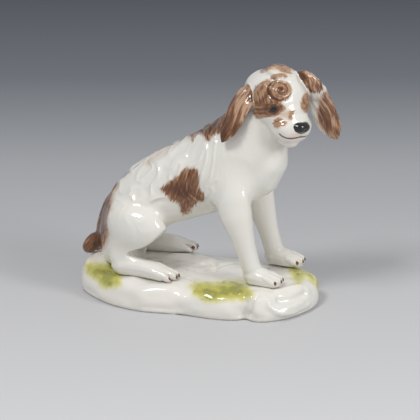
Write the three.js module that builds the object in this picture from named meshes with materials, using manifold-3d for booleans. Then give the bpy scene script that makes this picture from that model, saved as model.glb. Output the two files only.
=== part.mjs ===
// A seated spaniel in glazed porcelain on an oval mound, made up of the pieces that leave
// the moulds. Each piece is fettled to fit its neighbours and luted to them with slip.
// Millimetres, +Z up, +X the way the dog faces, +Y the dog's left.
import * as THREE from "three";
import { mergeVertices } from "three/addons/utils/BufferGeometryUtils.js";
import Module from "manifold-3d";

const wasm = await Module();
wasm.setup();

// Driving sizes of the body.
const BODY_LENGTH = 98; // seat to breast
const WITHERS_HEIGHT = 78; // ground to the top of the shoulders
const CHEST_WIDTH = 36;
const CHEST_DEPTH = 42;

// Driving sizes of the head and ears.
const HEAD_LENGTH = 40; // back of the skull to the nose
const SKULL_WIDTH = 28;
const SKULL_HEIGHT = 29;
const EAR_LENGTH = 40;
const EAR_WIDTH = 12;
const EAR_THICKNESS = 3.6;
const HEAD_TURN = 34.5; // degrees, to the dog's right
const HEAD_DROP = 20; // degrees, nose down
const HEAD_TILT = 8; // degrees, left ear down

// Driving sizes of the legs and tail.
const FORE_STANCE = 32; // between the middles of the forelegs
const FORELEG_WIDTH = 12;
const FORELEG_DEPTH = 13;
const FORELEG_LEAD = 2; // the left foreleg stands this much further forward
const HIND_STANCE = 40; // between the middles of the hind feet
const HAUNCH_LAG = 5; // the left haunch sits this much further back
const HIND_FOOT_LAG = 3; // and the left hind foot this much
const THIGH_WIDTH = 17;
const THIGH_DEPTH = 26;
const PAW_WIDTH = 12;
const PAW_HEIGHT = 9;
const HIND_FOOT_LENGTH = 36;
const TOE_THICKNESS = 3.4;
const TAIL_THICKNESS = 7.5;

// Driving sizes of the mound.
const BASE_HEIGHT = 14;
const FRONT_MARGIN = 16; // mound beyond the breast
const REAR_MARGIN = 6; // mound behind the seat
const SIDE_MARGIN = 13; // mound outside the middle of each hind foot
const MOUND_RISE = 1.2; // swell of the ground under the dog
const LEDGE_HEIGHT = 1.6; // rocks on the ground
const FOOT_RIM_WIDTH = 4.5; // unglazed rim that the mound stands on
const UNDERSIDE_RECESS = 1.5;
const VENT_DIAMETER = 5; // firing hole

// The film of slip left in every joint.
const SLIP_FILM = 0.3;

// Places of the dog and of the mound under it.
const RUMP_SHARE = -0.3673; // middle of the rump, along the body
const SEAT_SHARE = 0.4524; // seat behind the rump's middle, in chest depths
const BREAST_SHARE = 0.439;
const MIDLINE_SHARE = 0.11;
const MIDLINE = MIDLINE_SHARE * CHEST_WIDTH;
const BASE_WIDTH = HIND_STANCE + SIDE_MARGIN + SIDE_MARGIN;
const BASE_FRONT = BREAST_SHARE * BODY_LENGTH + FRONT_MARGIN;
const BASE_REAR = RUMP_SHARE * BODY_LENGTH - SEAT_SHARE * CHEST_DEPTH - REAR_MARGIN;
const BASE_LENGTH = BASE_FRONT - BASE_REAR;
const BASE_MIDDLE = (BASE_FRONT + BASE_REAR) / 2;
const RIGHT = -1;
const LEFT = 1;

// Along the spine: forward of the middle as a share of the body length, up from the ground as
// a share of the withers height, half the width as a share of the chest width, and how far
// the body reaches over and under the spine as shares of the chest depth.
const TRUNK_SHARES = [
  [-0.367, -0.051, 0.389, 0.286, 0.286],
  [-0.378, 0.09, 0.458, 0.357, 0.357],
  [-0.367, 0.244, 0.486, 0.381, 0.393],
  [-0.296, 0.404, 0.494, 0.414, 0.429],
  [-0.173, 0.526, 0.478, 0.417, 0.452],
  [-0.041, 0.615, 0.478, 0.44, 0.5],
  [0.082, 0.692, 0.489, 0.464, 0.524],
  [0.189, 0.782, 0.481, 0.476, 0.5],
  [0.26, 0.91, 0.431, 0.417, 0.41],
  [0.306, 1.038, 0.375, 0.345, 0.314],
  [0.347, 1.167, 0.319, 0.286, 0.274],
];
// The breast and brisket between the forelegs, in the same shares.
const BRISKET_SHARES = [
  [0.061, 0.564, 0.139, 0.119, 0.119],
  [0.143, 0.59, 0.306, 0.214, 0.262],
  [0.224, 0.603, 0.347, 0.214, 0.29],
  [0.306, 0.66, 0.347, 0.214, 0.243],
  [0.362, 0.763, 0.319, 0.214, 0.19],
  [0.393, 0.885, 0.194, 0.143, 0.095],
  [0.398, 0.974, 0.111, 0.071, 0.071],
];
// Where along the trunk's own curve the neck is parted.
const NECK_PART_SHARE = 0.845;

// Along the head: forward as a share of its length, up as a share of its height, half the
// width as a share of its width, and reach over and under as shares of its height.
const SKULL_SHARES = [
  [-0.438, 0.055, 0.107, 0.103, 0.103],
  [-0.338, 0.028, 0.304, 0.248, 0.31],
  [-0.2, 0.01, 0.443, 0.379, 0.434],
  [-0.05, 0, 0.493, 0.483, 0.49],
  [0.1, -0.021, 0.5, 0.503, 0.49],
  [0.212, -0.052, 0.471, 0.441, 0.462],
  [0.3, -0.1, 0.436, 0.338, 0.428],
  [0.38, -0.166, 0.386, 0.283, 0.366],
  [0.465, -0.214, 0.357, 0.262, 0.324],
  [0.625, -0.255, 0.343, 0.228, 0.303],
];
// Lobes of the head: chin, topknot, throat, nose and the locks before the ears. Each runs
// through places given forward, left and up, with its half-width, over and under.
const HEAD_LOBE_SHARES = [
  [
    [0.15, 0, -0.414, 0.107, 0.103, 0.103],
    [0.275, 0, -0.428, 0.264, 0.138, 0.131],
    [0.4, 0, -0.441, 0.257, 0.103, 0.117],
    [0.52, 0, -0.448, 0.193, 0.09, 0.103],
    [0.59, 0, -0.434, 0.071, 0.052, 0.052],
  ],
  [
    [-0.215, 0, 0.393, 0.143, 0.069, 0.086],
    [-0.14, 0, 0.428, 0.25, 0.09, 0.103],
    [-0.013, 0, 0.455, 0.271, 0.097, 0.103],
    [0.125, 0, 0.414, 0.229, 0.083, 0.103],
    [0.225, 0, 0.324, 0.107, 0.069, 0.069],
  ],
  [
    [-0.325, 0, -0.138, 0.179, 0.172, 0.172],
    [-0.2, 0, -0.207, 0.429, 0.31, 0.31],
    [-0.05, 0, -0.293, 0.464, 0.31, 0.345],
    [0.1, 0, -0.345, 0.429, 0.276, 0.31],
    [0.25, 0, -0.397, 0.339, 0.207, 0.224],
    [0.362, 0, -0.431, 0.179, 0.103, 0.121],
  ],
  [
    [0.5, 0, -0.097, 0.086, 0.069, 0.069],
    [0.55, 0, -0.093, 0.154, 0.093, 0.1],
    [0.59, 0, -0.103, 0.161, 0.1, 0.107],
    [0.625, 0, -0.124, 0.143, 0.09, 0.1],
    [0.647, 0, -0.138, 0.093, 0.055, 0.066],
  ],
  [
    [0.125, -0.307, 0.379, 0.043, 0.048, 0.048],
    [0.08, -0.407, 0.303, 0.068, 0.103, 0.103],
    [0.055, -0.461, 0.172, 0.075, 0.117, 0.117],
    [0.045, -0.471, 0.028, 0.068, 0.103, 0.103],
    [0.045, -0.457, -0.103, 0.036, 0.055, 0.055],
  ],
  [
    [0.125, 0.307, 0.379, 0.043, 0.048, 0.048],
    [0.08, 0.407, 0.303, 0.068, 0.103, 0.103],
    [0.055, 0.461, 0.172, 0.075, 0.117, 0.117],
    [0.045, 0.471, 0.028, 0.068, 0.103, 0.103],
    [0.045, 0.457, -0.103, 0.036, 0.055, 0.055],
  ],
];
// Curls and eyeballs: the place, then radius and height as shares of the skull's width. They
// face away from the knobs' centre.
const HEAD_KNOB_SHARES = [
  [0.305, -0.364, 0.048, 0.079, 0.057],
  [0.315, 0.311, 0.041, 0.079, 0.057],
  [0.2, -0.286, 0.31, 0.171, 0.071],
  [0.08, -0.157, 0.469, 0.121, 0.057],
];
const KNOB_CENTRE_SHARES = [-0.05, 0, -0.138];

// Soft forms of the head: the line each follows in shares of the head's length, width and
// height, its radius as a share of the width, and how far it stands out as a share of it.
const HEAD_SWELL_SHARES = [
  [[[0.37, 0.357, 0.014], [0.415, 0.314, -0.028]], 0.164, -0.029],
  [[[0.37, -0.357, 0.014], [0.415, -0.314, -0.028]], 0.164, -0.029],
  [[[0.175, 0.479, 0.138], [0.25, 0.421, 0.186], [0.315, 0.307, 0.2]], 0.157, 0.029],
  [[[0.175, -0.479, 0.138], [0.25, -0.421, 0.186], [0.315, -0.307, 0.2]], 0.157, 0.029],
  [[[0.165, 0.45, -0.228]], 0.286, 0.021],
  [[[0.165, -0.45, -0.228]], 0.286, 0.021],
  [[[0.375, 0.321, -0.359], [0.475, 0.314, -0.31], [0.565, 0.229, -0.297]], 0.171, 0.018],
  [[[0.375, -0.321, -0.359], [0.475, -0.314, -0.31], [0.565, -0.229, -0.297]], 0.171, 0.018],
  [[[0.485, 0.307, -0.172]], 0.179, 0.032],
  [[[0.485, -0.307, -0.172]], 0.179, 0.032],
  [[[0.385, 0, 0.069], [0.3, 0, 0.241], [0.175, 0, 0.414]], 0.129, -0.021],
];

// Along each ear from its root: forward, out and up as shares of the ear's length, half the
// width as a share of its width, and half the thickness as a share of its thickness.
const RIGHT_EAR_ROOT_SHARES = [-0.14, -0.357, 0.138];
const RIGHT_EAR_SHARES = [
  [0, 0, 0, 0.283, 0.472],
  [0.015, -0.08, -0.1, 0.433, 0.528],
  [0.05, -0.17, -0.237, 0.5, 0.528],
  [0.095, -0.258, -0.41, 0.483, 0.528],
  [0.135, -0.335, -0.575, 0.383, 0.444],
  [0.155, -0.375, -0.72, 0.15, 0.278],
];
const RIGHT_EAR_BREADTH = new THREE.Vector3(1, 0, 0);
const LEFT_EAR_ROOT_SHARES = [-0.013, 0.268, 0.431];
const LEFT_EAR_SHARES = [
  [0, 0, 0, 0.25, 0.472],
  [0.125, 0.117, -0.013, 0.367, 0.556],
  [0.227, 0.233, -0.123, 0.417, 0.556],
  [0.295, 0.338, -0.297, 0.5, 0.556],
  [0.375, 0.438, -0.463, 0.525, 0.528],
  [0.472, 0.528, -0.588, 0.408, 0.444],
  [0.552, 0.588, -0.688, 0.15, 0.278],
];
// A thick lock rolled over the top of the left ear, from the same root.
const LEFT_EAR_LOCK_SHARES = [
  [0.028, -0.027, 0.017, 0.2, 0.444],
  [0.148, 0.087, 0.013, 0.3, 0.611],
  [0.247, 0.192, -0.087, 0.35, 0.667],
  [0.292, 0.258, -0.188, 0.283, 0.556],
  [0.312, 0.292, -0.247, 0.117, 0.278],
];
const LEFT_EAR_BREADTH = new THREE.Vector3(1, 1.2, 1.6);

// Down each foreleg: forward (body length), out (half the stance), up (withers height), half
// the width (leg width), reach to the front and to the back (leg depth).
const FORELEG_SHARES = [
  [0.153, 0.25, 0.923, 0.417, 0.462, 0.462],
  [0.163, 0.525, 0.769, 0.617, 0.846, 0.692],
  [0.178, 0.8, 0.615, 0.633, 0.846, 0.754],
  [0.216, 1.012, 0.449, 0.558, 0.646, 0.646],
  [0.251, 1.025, 0.308, 0.467, 0.462, 0.477],
  [0.278, 1.012, 0.192, 0.408, 0.369, 0.377],
  [0.298, 1.006, 0.103, 0.392, 0.377, 0.362],
  [0.316, 1, 0.013, 0.417, 0.431, 0.369],
];
// Along each forepaw: forward, out, up (paw height), half the width (paw width), over and
// under (paw height).
const FOREPAW_SHARES = [
  [0.251, 1, 0.378, 0.25, 0.289, 0.389],
  [0.29, 1, 0.467, 0.4, 0.533, 0.667],
  [0.337, 1, 0.444, 0.45, 0.556, 0.667],
  [0.393, 1.012, 0.311, 0.483, 0.356, 0.556],
  [0.435, 1.038, 0.178, 0.4, 0.222, 0.444],
  [0.455, 1.05, 0.133, 0.208, 0.133, 0.333],
];
const FOREPAW_TOE_SHARES = [
  [
    [0.347, 0.775, 0.511, 0.435, 0.435, 0.435],
    [0.378, 0.753, 0.5, 0.544, 0.544, 0.599],
    [0.418, 0.725, 0.289, 0.544, 0.544, 0.653],
    [0.439, 0.713, 0.156, 0.381, 0.326, 0.544],
  ],
  [
    [0.347, 0.919, 0.567, 0.435, 0.435, 0.435],
    [0.378, 0.917, 0.556, 0.544, 0.544, 0.599],
    [0.442, 0.914, 0.344, 0.544, 0.544, 0.653],
    [0.462, 0.912, 0.211, 0.381, 0.326, 0.544],
  ],
  [
    [0.347, 1.087, 0.567, 0.435, 0.435, 0.435],
    [0.378, 1.098, 0.556, 0.544, 0.544, 0.599],
    [0.442, 1.112, 0.344, 0.544, 0.544, 0.653],
    [0.462, 1.119, 0.211, 0.381, 0.326, 0.544],
  ],
  [
    [0.347, 1.231, 0.511, 0.435, 0.435, 0.435],
    [0.378, 1.26, 0.5, 0.544, 0.544, 0.599],
    [0.418, 1.296, 0.289, 0.544, 0.544, 0.653],
    [0.439, 1.312, 0.156, 0.381, 0.326, 0.544],
  ],
];

// Along each thigh: forward (body length), out (half the stance), up (withers height), half
// the width (thigh width), over and under (thigh depth).
const THIGH_SHARES = [
  [-0.449, 0.525, 0.256, 0.235, 0.269, 0.346],
  [-0.403, 0.67, 0.282, 0.406, 0.462, 0.669],
  [-0.337, 0.8, 0.297, 0.5, 0.515, 0.608],
  [-0.26, 0.87, 0.303, 0.488, 0.454, 0.492],
  [-0.19, 0.9, 0.295, 0.388, 0.323, 0.354],
  [-0.133, 0.9, 0.287, 0.176, 0.154, 0.154],
];
// Along each shank, in the same shares.
const SHANK_SHARES = [
  [-0.173, 0.85, 0.244, 0.176, 0.192, 0.154],
  [-0.224, 0.84, 0.213, 0.318, 0.346, 0.208],
  [-0.296, 0.815, 0.177, 0.353, 0.385, 0.215],
  [-0.357, 0.795, 0.136, 0.365, 0.385, 0.223],
  [-0.404, 0.8, 0.097, 0.353, 0.331, 0.223],
  [-0.441, 0.81, 0.072, 0.188, 0.154, 0.138],
];
// Along each hind foot from its heel: forward (foot length), out (half the stance), up (paw
// height), half the width (paw width), over and under (paw height).
const HIND_HEEL_SHARE = -0.449;
const HIND_FOOT_SHARES = [
  [0.056, 0.91, 0.356, 0.233, 0.311, 0.444],
  [0.194, 0.91, 0.467, 0.4, 0.489, 0.667],
  [0.417, 0.96, 0.533, 0.45, 0.489, 0.667],
  [0.667, 1.02, 0.489, 0.492, 0.422, 0.667],
  [0.861, 1.09, 0.333, 0.5, 0.311, 0.556],
  [1.014, 1.15, 0.2, 0.3, 0.178, 0.444],
];
const HIND_TOE_SHARES = [
  [
    [0.694, 0.85, 0.489, 0.412, 0.412, 0.412],
    [0.806, 0.869, 0.444, 0.515, 0.515, 0.566],
    [0.942, 0.901, 0.244, 0.515, 0.515, 0.618],
    [1.011, 0.93, 0.133, 0.36, 0.309, 0.515],
  ],
  [
    [0.694, 0.97, 0.544, 0.447, 0.447, 0.447],
    [0.806, 0.999, 0.5, 0.559, 0.559, 0.615],
    [0.997, 1.042, 0.3, 0.559, 0.559, 0.671],
    [1.067, 1.075, 0.189, 0.391, 0.335, 0.559],
  ],
  [
    [0.694, 1.1, 0.544, 0.447, 0.447, 0.447],
    [0.806, 1.135, 0.5, 0.559, 0.559, 0.615],
    [0.986, 1.185, 0.3, 0.559, 0.559, 0.671],
    [1.056, 1.22, 0.189, 0.391, 0.335, 0.559],
  ],
  [
    [0.694, 1.225, 0.478, 0.412, 0.412, 0.412],
    [0.806, 1.266, 0.433, 0.515, 0.515, 0.566],
    [0.914, 1.323, 0.233, 0.515, 0.515, 0.618],
    [0.983, 1.36, 0.122, 0.36, 0.309, 0.515],
  ],
];

// Down the tail: back from the rump (chest depth), left (chest width), up (withers height),
// half the width, over and under (tail thickness).
const TAIL_SHARES = [
  [0.095, 0, 0.487, 0.333, 0.333, 0.333],
  [0.202, 0, 0.442, 0.507, 0.453, 0.373],
  [0.31, -0.006, 0.346, 0.533, 0.427, 0.373],
  [0.362, -0.011, 0.231, 0.507, 0.4, 0.373],
  [0.395, -0.017, 0.128, 0.453, 0.373, 0.347],
  [0.419, -0.017, 0.051, 0.267, 0.267, 0.267],
];
const TAIL_CURL_SHARES = [
  [0.395, -0.011, 0.172, 0.213, 0.213, 0.213],
  [0.448, -0.017, 0.141, 0.453, 0.427, 0.4],
  [0.5, -0.022, 0.103, 0.533, 0.507, 0.48],
  [0.548, -0.028, 0.059, 0.453, 0.427, 0.4],
  [0.576, -0.028, 0.033, 0.213, 0.2, 0.2],
];

// The mound's outline, in shares of half its length and half its width.
const BASE_OUTLINE_SHARES = [
  [-0.997, -0.097],
  [-0.942, -0.273],
  [-0.85, -0.455],
  [-0.733, -0.645],
  [-0.603, -0.785],
  [-0.467, -0.879],
  [-0.333, -0.927],
  [-0.192, -0.915],
  [-0.05, -0.888],
  [0.1, -0.921],
  [0.25, -0.958],
  [0.391, -0.945],
  [0.486, -0.885],
  [0.533, -0.83],
  [0.593, -0.891],
  [0.693, -0.879],
  [0.796, -0.745],
  [0.873, -0.582],
  [0.933, -0.376],
  [0.98, -0.145],
  [0.996, 0.091],
  [0.976, 0.333],
  [0.91, 0.552],
  [0.796, 0.697],
  [0.65, 0.77],
  [0.491, 0.83],
  [0.325, 0.909],
  [0.158, 0.945],
  [-0.009, 0.933],
  [-0.158, 0.988],
  [-0.317, 1.048],
  [-0.483, 1.03],
  [-0.633, 0.939],
  [-0.767, 0.776],
  [-0.877, 0.558],
  [-0.953, 0.321],
  [-0.997, 0.103],
];
// The mound's wall from the ground rim to its top: inset and height, both as shares of the
// mound's height.
const BASE_WALL_SHARES = [
  [0.1, 0],
  [0.036, 0.064],
  [0.004, 0.186],
  [0, 0.371],
  [0.025, 0.571],
  [0.1, 0.757],
  [0.236, 0.893],
  [0.443, 0.964],
  [0.714, 0.993],
];
// Rings across its top, as shares of the way out from the middle.
const BASE_TOP_SHARES = [0.88, 0.75, 0.6, 0.45, 0.3, 0.15];
// Rocks: along each, its place in shares of half the length, half the width and the height,
// then half its width, and its reach over and under, in ledge heights.
const ROCK_SHARES = [
  [
    [-0.417, 0.455, 0.886, 1.25, 0.625, 0.938],
    [-0.3, 0.467, 0.957, 3.75, 1.312, 2.5],
    [-0.133, 0.485, 0.971, 4.375, 1.375, 2.5],
    [0.033, 0.424, 0.971, 4, 1.312, 2.5],
    [0.166, 0.485, 0.914, 1.25, 0.625, 0.938],
  ],
  [
    [-0.267, -0.03, 0.9, 1.25, 0.625, 0.938],
    [-0.15, -0.048, 0.971, 3.125, 1.25, 2.5],
    [0, -0.079, 0.986, 3.5, 1.312, 2.5],
    [0.133, 0.091, 0.971, 3.125, 1.25, 2.5],
    [0.25, 0.303, 0.9, 1.25, 0.625, 0.938],
  ],
  [
    [-0.133, -0.333, 0.871, 1.25, 0.625, 0.938],
    [-0.05, -0.455, 0.943, 3.125, 1.25, 2.5],
    [0.083, -0.624, 0.929, 3.75, 1.25, 2.5],
    [0.233, -0.709, 0.886, 3.375, 1.125, 2.5],
    [0.366, -0.727, 0.8, 1.25, 0.625, 0.938],
  ],
  [
    [0.603, -0.867, 0.143, 2.125, 1.375, 1.25],
    [0.61, -0.83, 0.343, 3.125, 2.125, 1.875],
    [0.62, -0.776, 0.6, 3.375, 2.25, 1.875],
    [0.636, -0.667, 0.786, 3.125, 1.875, 1.875],
    [0.663, -0.515, 0.871, 1.375, 0.875, 0.938],
  ],
  [
    [0.683, -0.758, 0.257, 1.25, 1, 1.25],
    [0.75, -0.685, 0.343, 2.625, 2.25, 2.125],
    [0.833, -0.527, 0.4, 2.875, 2.375, 2.125],
    [0.89, -0.315, 0.429, 2.625, 2.125, 2],
    [0.916, -0.109, 0.443, 1.25, 1, 1.25],
  ],
];
// Folds and lobes of the wall: the line each follows in the same shares, then its radius and
// its rise in ledge heights.
const WALL_FOLD_SHARES = [
  [[[0.533, -0.848, 0.071], [0.533, -0.818, 0.429], [0.56, -0.727, 0.786]], 2.25, -0.688],
  [[[0.75, -0.727, 0.786], [0.85, -0.545, 0.757], [0.916, -0.303, 0.757]], 3.125, -0.562],
];
const VENT_SHARES = [-0.4, 0.1];

// Numbers of facets round and along the pieces, and in their domed ends.
const BODY_FACETS = { sides: 30, rings: 14, domes: 4 };
const SKULL_FACETS = { sides: 28, rings: 14, domes: 4 };
const LIMB_FACETS = { sides: 16, rings: 7, domes: 3 };
const LOBE_FACETS = { sides: 14, rings: 4, domes: 2 };
const ROCK_FACETS = { sides: 12, rings: 3, domes: 2 };
const BALL_FACETS = { sides: 12, rings: 7 };
const TOE_FACETS = { sides: 8, rings: 2, domes: 2 };
const BASE_SIDES = 56;

// A closed surface as a solid that can be joined and cut.
function solid(geometry) {
  const bare = geometry.clone();
  bare.deleteAttribute("normal");
  bare.deleteAttribute("uv");
  const welded = mergeVertices(bare);
  const mesh = new wasm.Mesh({
    numProp: 3,
    vertProperties: new Float32Array(welded.attributes.position.array),
    triVerts: new Uint32Array(welded.index.array),
  });
  return new wasm.Manifold(mesh);
}

// The largest body of a cut solid: crumbs left at a feathered edge are fettled away.
function largest(shape) {
  const bodies = shape.decompose();
  bodies.sort((a, b) => b.volume() - a.volume());
  return bodies[0];
}

function joined(shapes) {
  return shapes.reduce((whole, shape) => whole.add(shape));
}

function geometryFrom(points, triangles) {
  const geometry = new THREE.BufferGeometry();
  const flat = points.flatMap((point) => point.toArray());
  geometry.setAttribute("position", new THREE.Float32BufferAttribute(flat, 3));
  geometry.setIndex(triangles);
  return geometry;
}

// Closed surface over a stack of rings of equal count, pointed at its two ends.
function skin(startTip, rings, endTip) {
  const sides = rings[0].length;
  const points = [startTip, ...rings.flat(), endTip];
  const endIndex = points.length - 1;
  const triangles = [];
  const at = (ring, side) => 1 + ring * sides + (side % sides);
  const lastRing = rings.length - 1;
  for (let side = 0; side < sides; side += 1) {
    triangles.push(0, at(0, side + 1), at(0, side));
    for (let ring = 0; ring < lastRing; ring += 1) {
      triangles.push(at(ring, side), at(ring, side + 1), at(ring + 1, side));
      triangles.push(at(ring, side + 1), at(ring + 1, side + 1), at(ring + 1, side));
    }
    triangles.push(at(lastRing, side), at(lastRing, side + 1), endIndex);
  }
  return geometryFrom(points, triangles);
}

// Stops along a limb: the share of its curve and the share of full girth there. The first
// and last spans close as domes.
function limbStops(spans, facets) {
  const domeShare = 1 / spans;
  const stops = [];
  for (let ring = 1; ring <= facets.domes; ring += 1) {
    const angle = (ring / facets.domes) * (Math.PI / 2);
    const along = domeShare * (1 - Math.cos(angle));
    stops.push({ along, girth: Math.sin(angle), lead: -Math.cos(angle) });
  }
  for (let ring = 1; ring < facets.rings; ring += 1) {
    const along = domeShare + (1 - 2 * domeShare) * (ring / facets.rings);
    stops.push({ along, girth: 1, lead: 0 });
  }
  for (let ring = facets.domes; ring >= 1; ring -= 1) {
    const angle = (ring / facets.domes) * (Math.PI / 2);
    const along = 1 - domeShare * (1 - Math.cos(angle));
    stops.push({ along, girth: Math.sin(angle), lead: Math.cos(angle) });
  }
  return stops;
}

// The curve through the places of a limb's stations.
function spineOf(stations) {
  return new THREE.CatmullRomCurve3(stations.map((station) => station.place));
}

// A rounded limb: ovals strung on a curve through its stations. A station's girth is half its
// width across, then its reach over and under the curve. The limb can be grown all round.
function limb(stations, across, facets, grown) {
  const spine = spineOf(stations);
  const girths = new THREE.CatmullRomCurve3(stations.map((station) => station.girth));
  const rings = limbStops(stations.length - 1, facets).map((stop) => {
    const tangent = spine.getTangent(stop.along);
    const middle = spine.getPoint(stop.along).addScaledVector(tangent, grown * stop.lead);
    const girth = girths.getPoint(stop.along).addScalar(grown).multiplyScalar(stop.girth);
    const sideways = across.clone().addScaledVector(tangent, -across.dot(tangent)).normalize();
    const over = tangent.clone().cross(sideways);
    const ring = [];
    for (let side = 0; side < facets.sides; side += 1) {
      const angle = (side / facets.sides) * (2 * Math.PI);
      const reach = Math.sin(angle) > 0 ? girth.y : girth.z;
      const point = middle.clone();
      point.addScaledVector(sideways, girth.x * Math.cos(angle));
      point.addScaledVector(over, reach * Math.sin(angle));
      ring.push(point);
    }
    return ring;
  });
  const startTip = spine.getPoint(0).addScaledVector(spine.getTangent(0), -grown);
  const endTip = spine.getPoint(1).addScaledVector(spine.getTangent(1), grown);
  return skin(startTip, rings, endTip);
}

function distanceToLine(point, line) {
  if (line.length === 1) {
    return point.distanceTo(line[0]);
  }
  const nearest = new THREE.Vector3();
  const distances = line.slice(1).map((end, index) => {
    new THREE.Line3(line[index], end).closestPointToPoint(point, true, nearest);
    return point.distanceTo(nearest);
  });
  return Math.min(...distances);
}

// Raises a soft form along a line on a surface, or sinks a fold where the rise is negative.
function swell(geometry, line, radius, rise) {
  geometry.computeVertexNormals();
  const places = geometry.attributes.position;
  const normals = geometry.attributes.normal;
  const point = new THREE.Vector3();
  const normal = new THREE.Vector3();
  for (let index = 0; index < places.count; index += 1) {
    point.fromBufferAttribute(places, index);
    const closeness = 1 - distanceToLine(point, line) / radius;
    if (closeness > 0) {
      normal.fromBufferAttribute(normals, index);
      point.addScaledVector(normal, rise * THREE.MathUtils.smoothstep(closeness, 0, 1));
      places.setXYZ(index, point.x, point.y, point.z);
    }
  }
}

// The mound's outline. A ring of it lies inset from the outline at a height; rings nearer the
// middle lose the outline's folds and turn oval.
const outlineCurve = new THREE.CatmullRomCurve3(
  BASE_OUTLINE_SHARES.map(([lengthShare, widthShare]) => {
    const x = BASE_MIDDLE + lengthShare * (BASE_LENGTH / 2);
    return new THREE.Vector3(x, widthShare * (BASE_WIDTH / 2), 0);
  }),
  true,
);
const baseCentre = new THREE.Vector3(BASE_MIDDLE, 0, 0);

function outlineRing(inset, height, outwardShare = 1, foldShare = 1) {
  const ring = [];
  for (let side = 0; side < BASE_SIDES; side += 1) {
    const spoke = outlineCurve.getPoint(side / BASE_SIDES).sub(baseCentre);
    const folded = spoke.length() - inset;
    spoke.normalize();
    const oval = 1 / Math.hypot(spoke.x / (BASE_LENGTH / 2), spoke.y / (BASE_WIDTH / 2)) - inset;
    spoke.multiplyScalar(THREE.MathUtils.lerp(oval, folded, foldShare) * outwardShare);
    ring.push(baseCentre.clone().add(spoke).setZ(height));
  }
  return ring;
}

function moundPlace(lengthShare, widthShare, heightShare) {
  return new THREE.Vector3(
    BASE_MIDDLE + lengthShare * (BASE_LENGTH / 2),
    widthShare * (BASE_WIDTH / 2),
    heightShare * BASE_HEIGHT,
  );
}

// The level direction across a line of stations.
function acrossFlat(stations) {
  const along = stations[stations.length - 1].place.clone().sub(stations[0].place);
  return new THREE.Vector3(0, 0, 1).cross(along).normalize();
}

// The mound, with its rim, wall, top and rocks.
function moundForm(grown) {
  const rimInner = FOOT_RIM_WIDTH + UNDERSIDE_RECESS;
  const rings = [
    outlineRing(rimInner, UNDERSIDE_RECESS, 1, 0),
    outlineRing(FOOT_RIM_WIDTH, 0, 1, 0),
  ];
  const wall = BASE_WALL_SHARES.map(([insetShare, heightShare]) => {
    return [insetShare * BASE_HEIGHT - grown, heightShare * BASE_HEIGHT + grown];
  });
  for (const [inset, height] of wall) {
    rings.push(outlineRing(inset, height));
  }
  const [topInset, topHeight] = wall[wall.length - 1];
  for (const share of BASE_TOP_SHARES) {
    const height = topHeight + MOUND_RISE * (1 - share * share);
    rings.push(outlineRing(topInset, height, share, Math.max(0, 4 * share - 3)));
  }
  const underTip = baseCentre.clone().setZ(UNDERSIDE_RECESS);
  const topTip = baseCentre.clone().setZ(topHeight + MOUND_RISE);
  const surface = skin(underTip, rings, topTip);
  for (const [line, radius, rise] of WALL_FOLD_SHARES) {
    const path = line.map((shares) => moundPlace(...shares));
    swell(surface, path, radius * LEDGE_HEIGHT, rise * LEDGE_HEIGHT);
  }
  const rocks = ROCK_SHARES.map((shares) => {
    const stations = shares.map(([lengthShare, widthShare, heightShare, ...girth]) => ({
      place: moundPlace(lengthShare, widthShare, heightShare),
      girth: new THREE.Vector3(...girth).multiplyScalar(LEDGE_HEIGHT),
    }));
    return solid(limb(stations, acrossFlat(stations), ROCK_FACETS, grown));
  });
  return joined([solid(surface), ...rocks]);
}

// The firing hole up through the mound under the dog's seat.
function ventHole() {
  const [lengthShare, widthShare] = VENT_SHARES;
  const bore = new THREE.CylinderGeometry(
    VENT_DIAMETER / 2,
    VENT_DIAMETER / 2,
    BASE_HEIGHT * 4,
    LIMB_FACETS.sides,
  );
  bore.rotateX(Math.PI / 2);
  bore.translate(...moundPlace(lengthShare, widthShare, 0).toArray());
  return solid(bore);
}

// The body's own stations and form.
const AXIS_LEFT = new THREE.Vector3(0, 1, 0);

function bodyPlace(forwardShare, left, upShare) {
  return new THREE.Vector3(
    forwardShare * BODY_LENGTH,
    MIDLINE + left,
    BASE_HEIGHT + upShare * WITHERS_HEIGHT,
  );
}

const trunkStations = TRUNK_SHARES.map(([forward, up, half, over, under]) => ({
  place: bodyPlace(forward, 0, up),
  girth: new THREE.Vector3(half * CHEST_WIDTH, over * CHEST_DEPTH, under * CHEST_DEPTH),
}));

const brisketStations = BRISKET_SHARES.map(([forward, up, half, over, under]) => ({
  place: bodyPlace(forward, 0, up),
  girth: new THREE.Vector3(half * CHEST_WIDTH, over * CHEST_DEPTH, under * CHEST_DEPTH),
}));

function trunkForm(grown) {
  const barrel = solid(limb(trunkStations, AXIS_LEFT, BODY_FACETS, grown));
  const brisket = solid(limb(brisketStations, AXIS_LEFT, LOBE_FACETS, grown));
  return barrel.add(brisket);
}

// Everything of the body above the neck's parting plane, as one block.
function aboveNeck(lowered) {
  const spine = spineOf(trunkStations);
  const tangent = spine.getTangent(NECK_PART_SHARE);
  const size = BODY_LENGTH;
  const block = new THREE.BoxGeometry(size, size, size);
  block.translate(0, 0, size / 2 - lowered);
  block.applyQuaternion(
    new THREE.Quaternion().setFromUnitVectors(new THREE.Vector3(0, 0, 1), tangent),
  );
  block.translate(...spine.getPoint(NECK_PART_SHARE).toArray());
  return solid(block);
}

// The head's own frame: its middle on the neck, then turned, dropped and tilted.
const HEAD_MIDDLE_SHARES = [0.371, 1.182];
const headFrame = new THREE.Matrix4().makeRotationFromEuler(
  new THREE.Euler(
    THREE.MathUtils.degToRad(-HEAD_TILT),
    THREE.MathUtils.degToRad(HEAD_DROP),
    THREE.MathUtils.degToRad(-HEAD_TURN),
    "ZYX",
  ),
);
headFrame.setPosition(bodyPlace(HEAD_MIDDLE_SHARES[0], 0, HEAD_MIDDLE_SHARES[1]));

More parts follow.
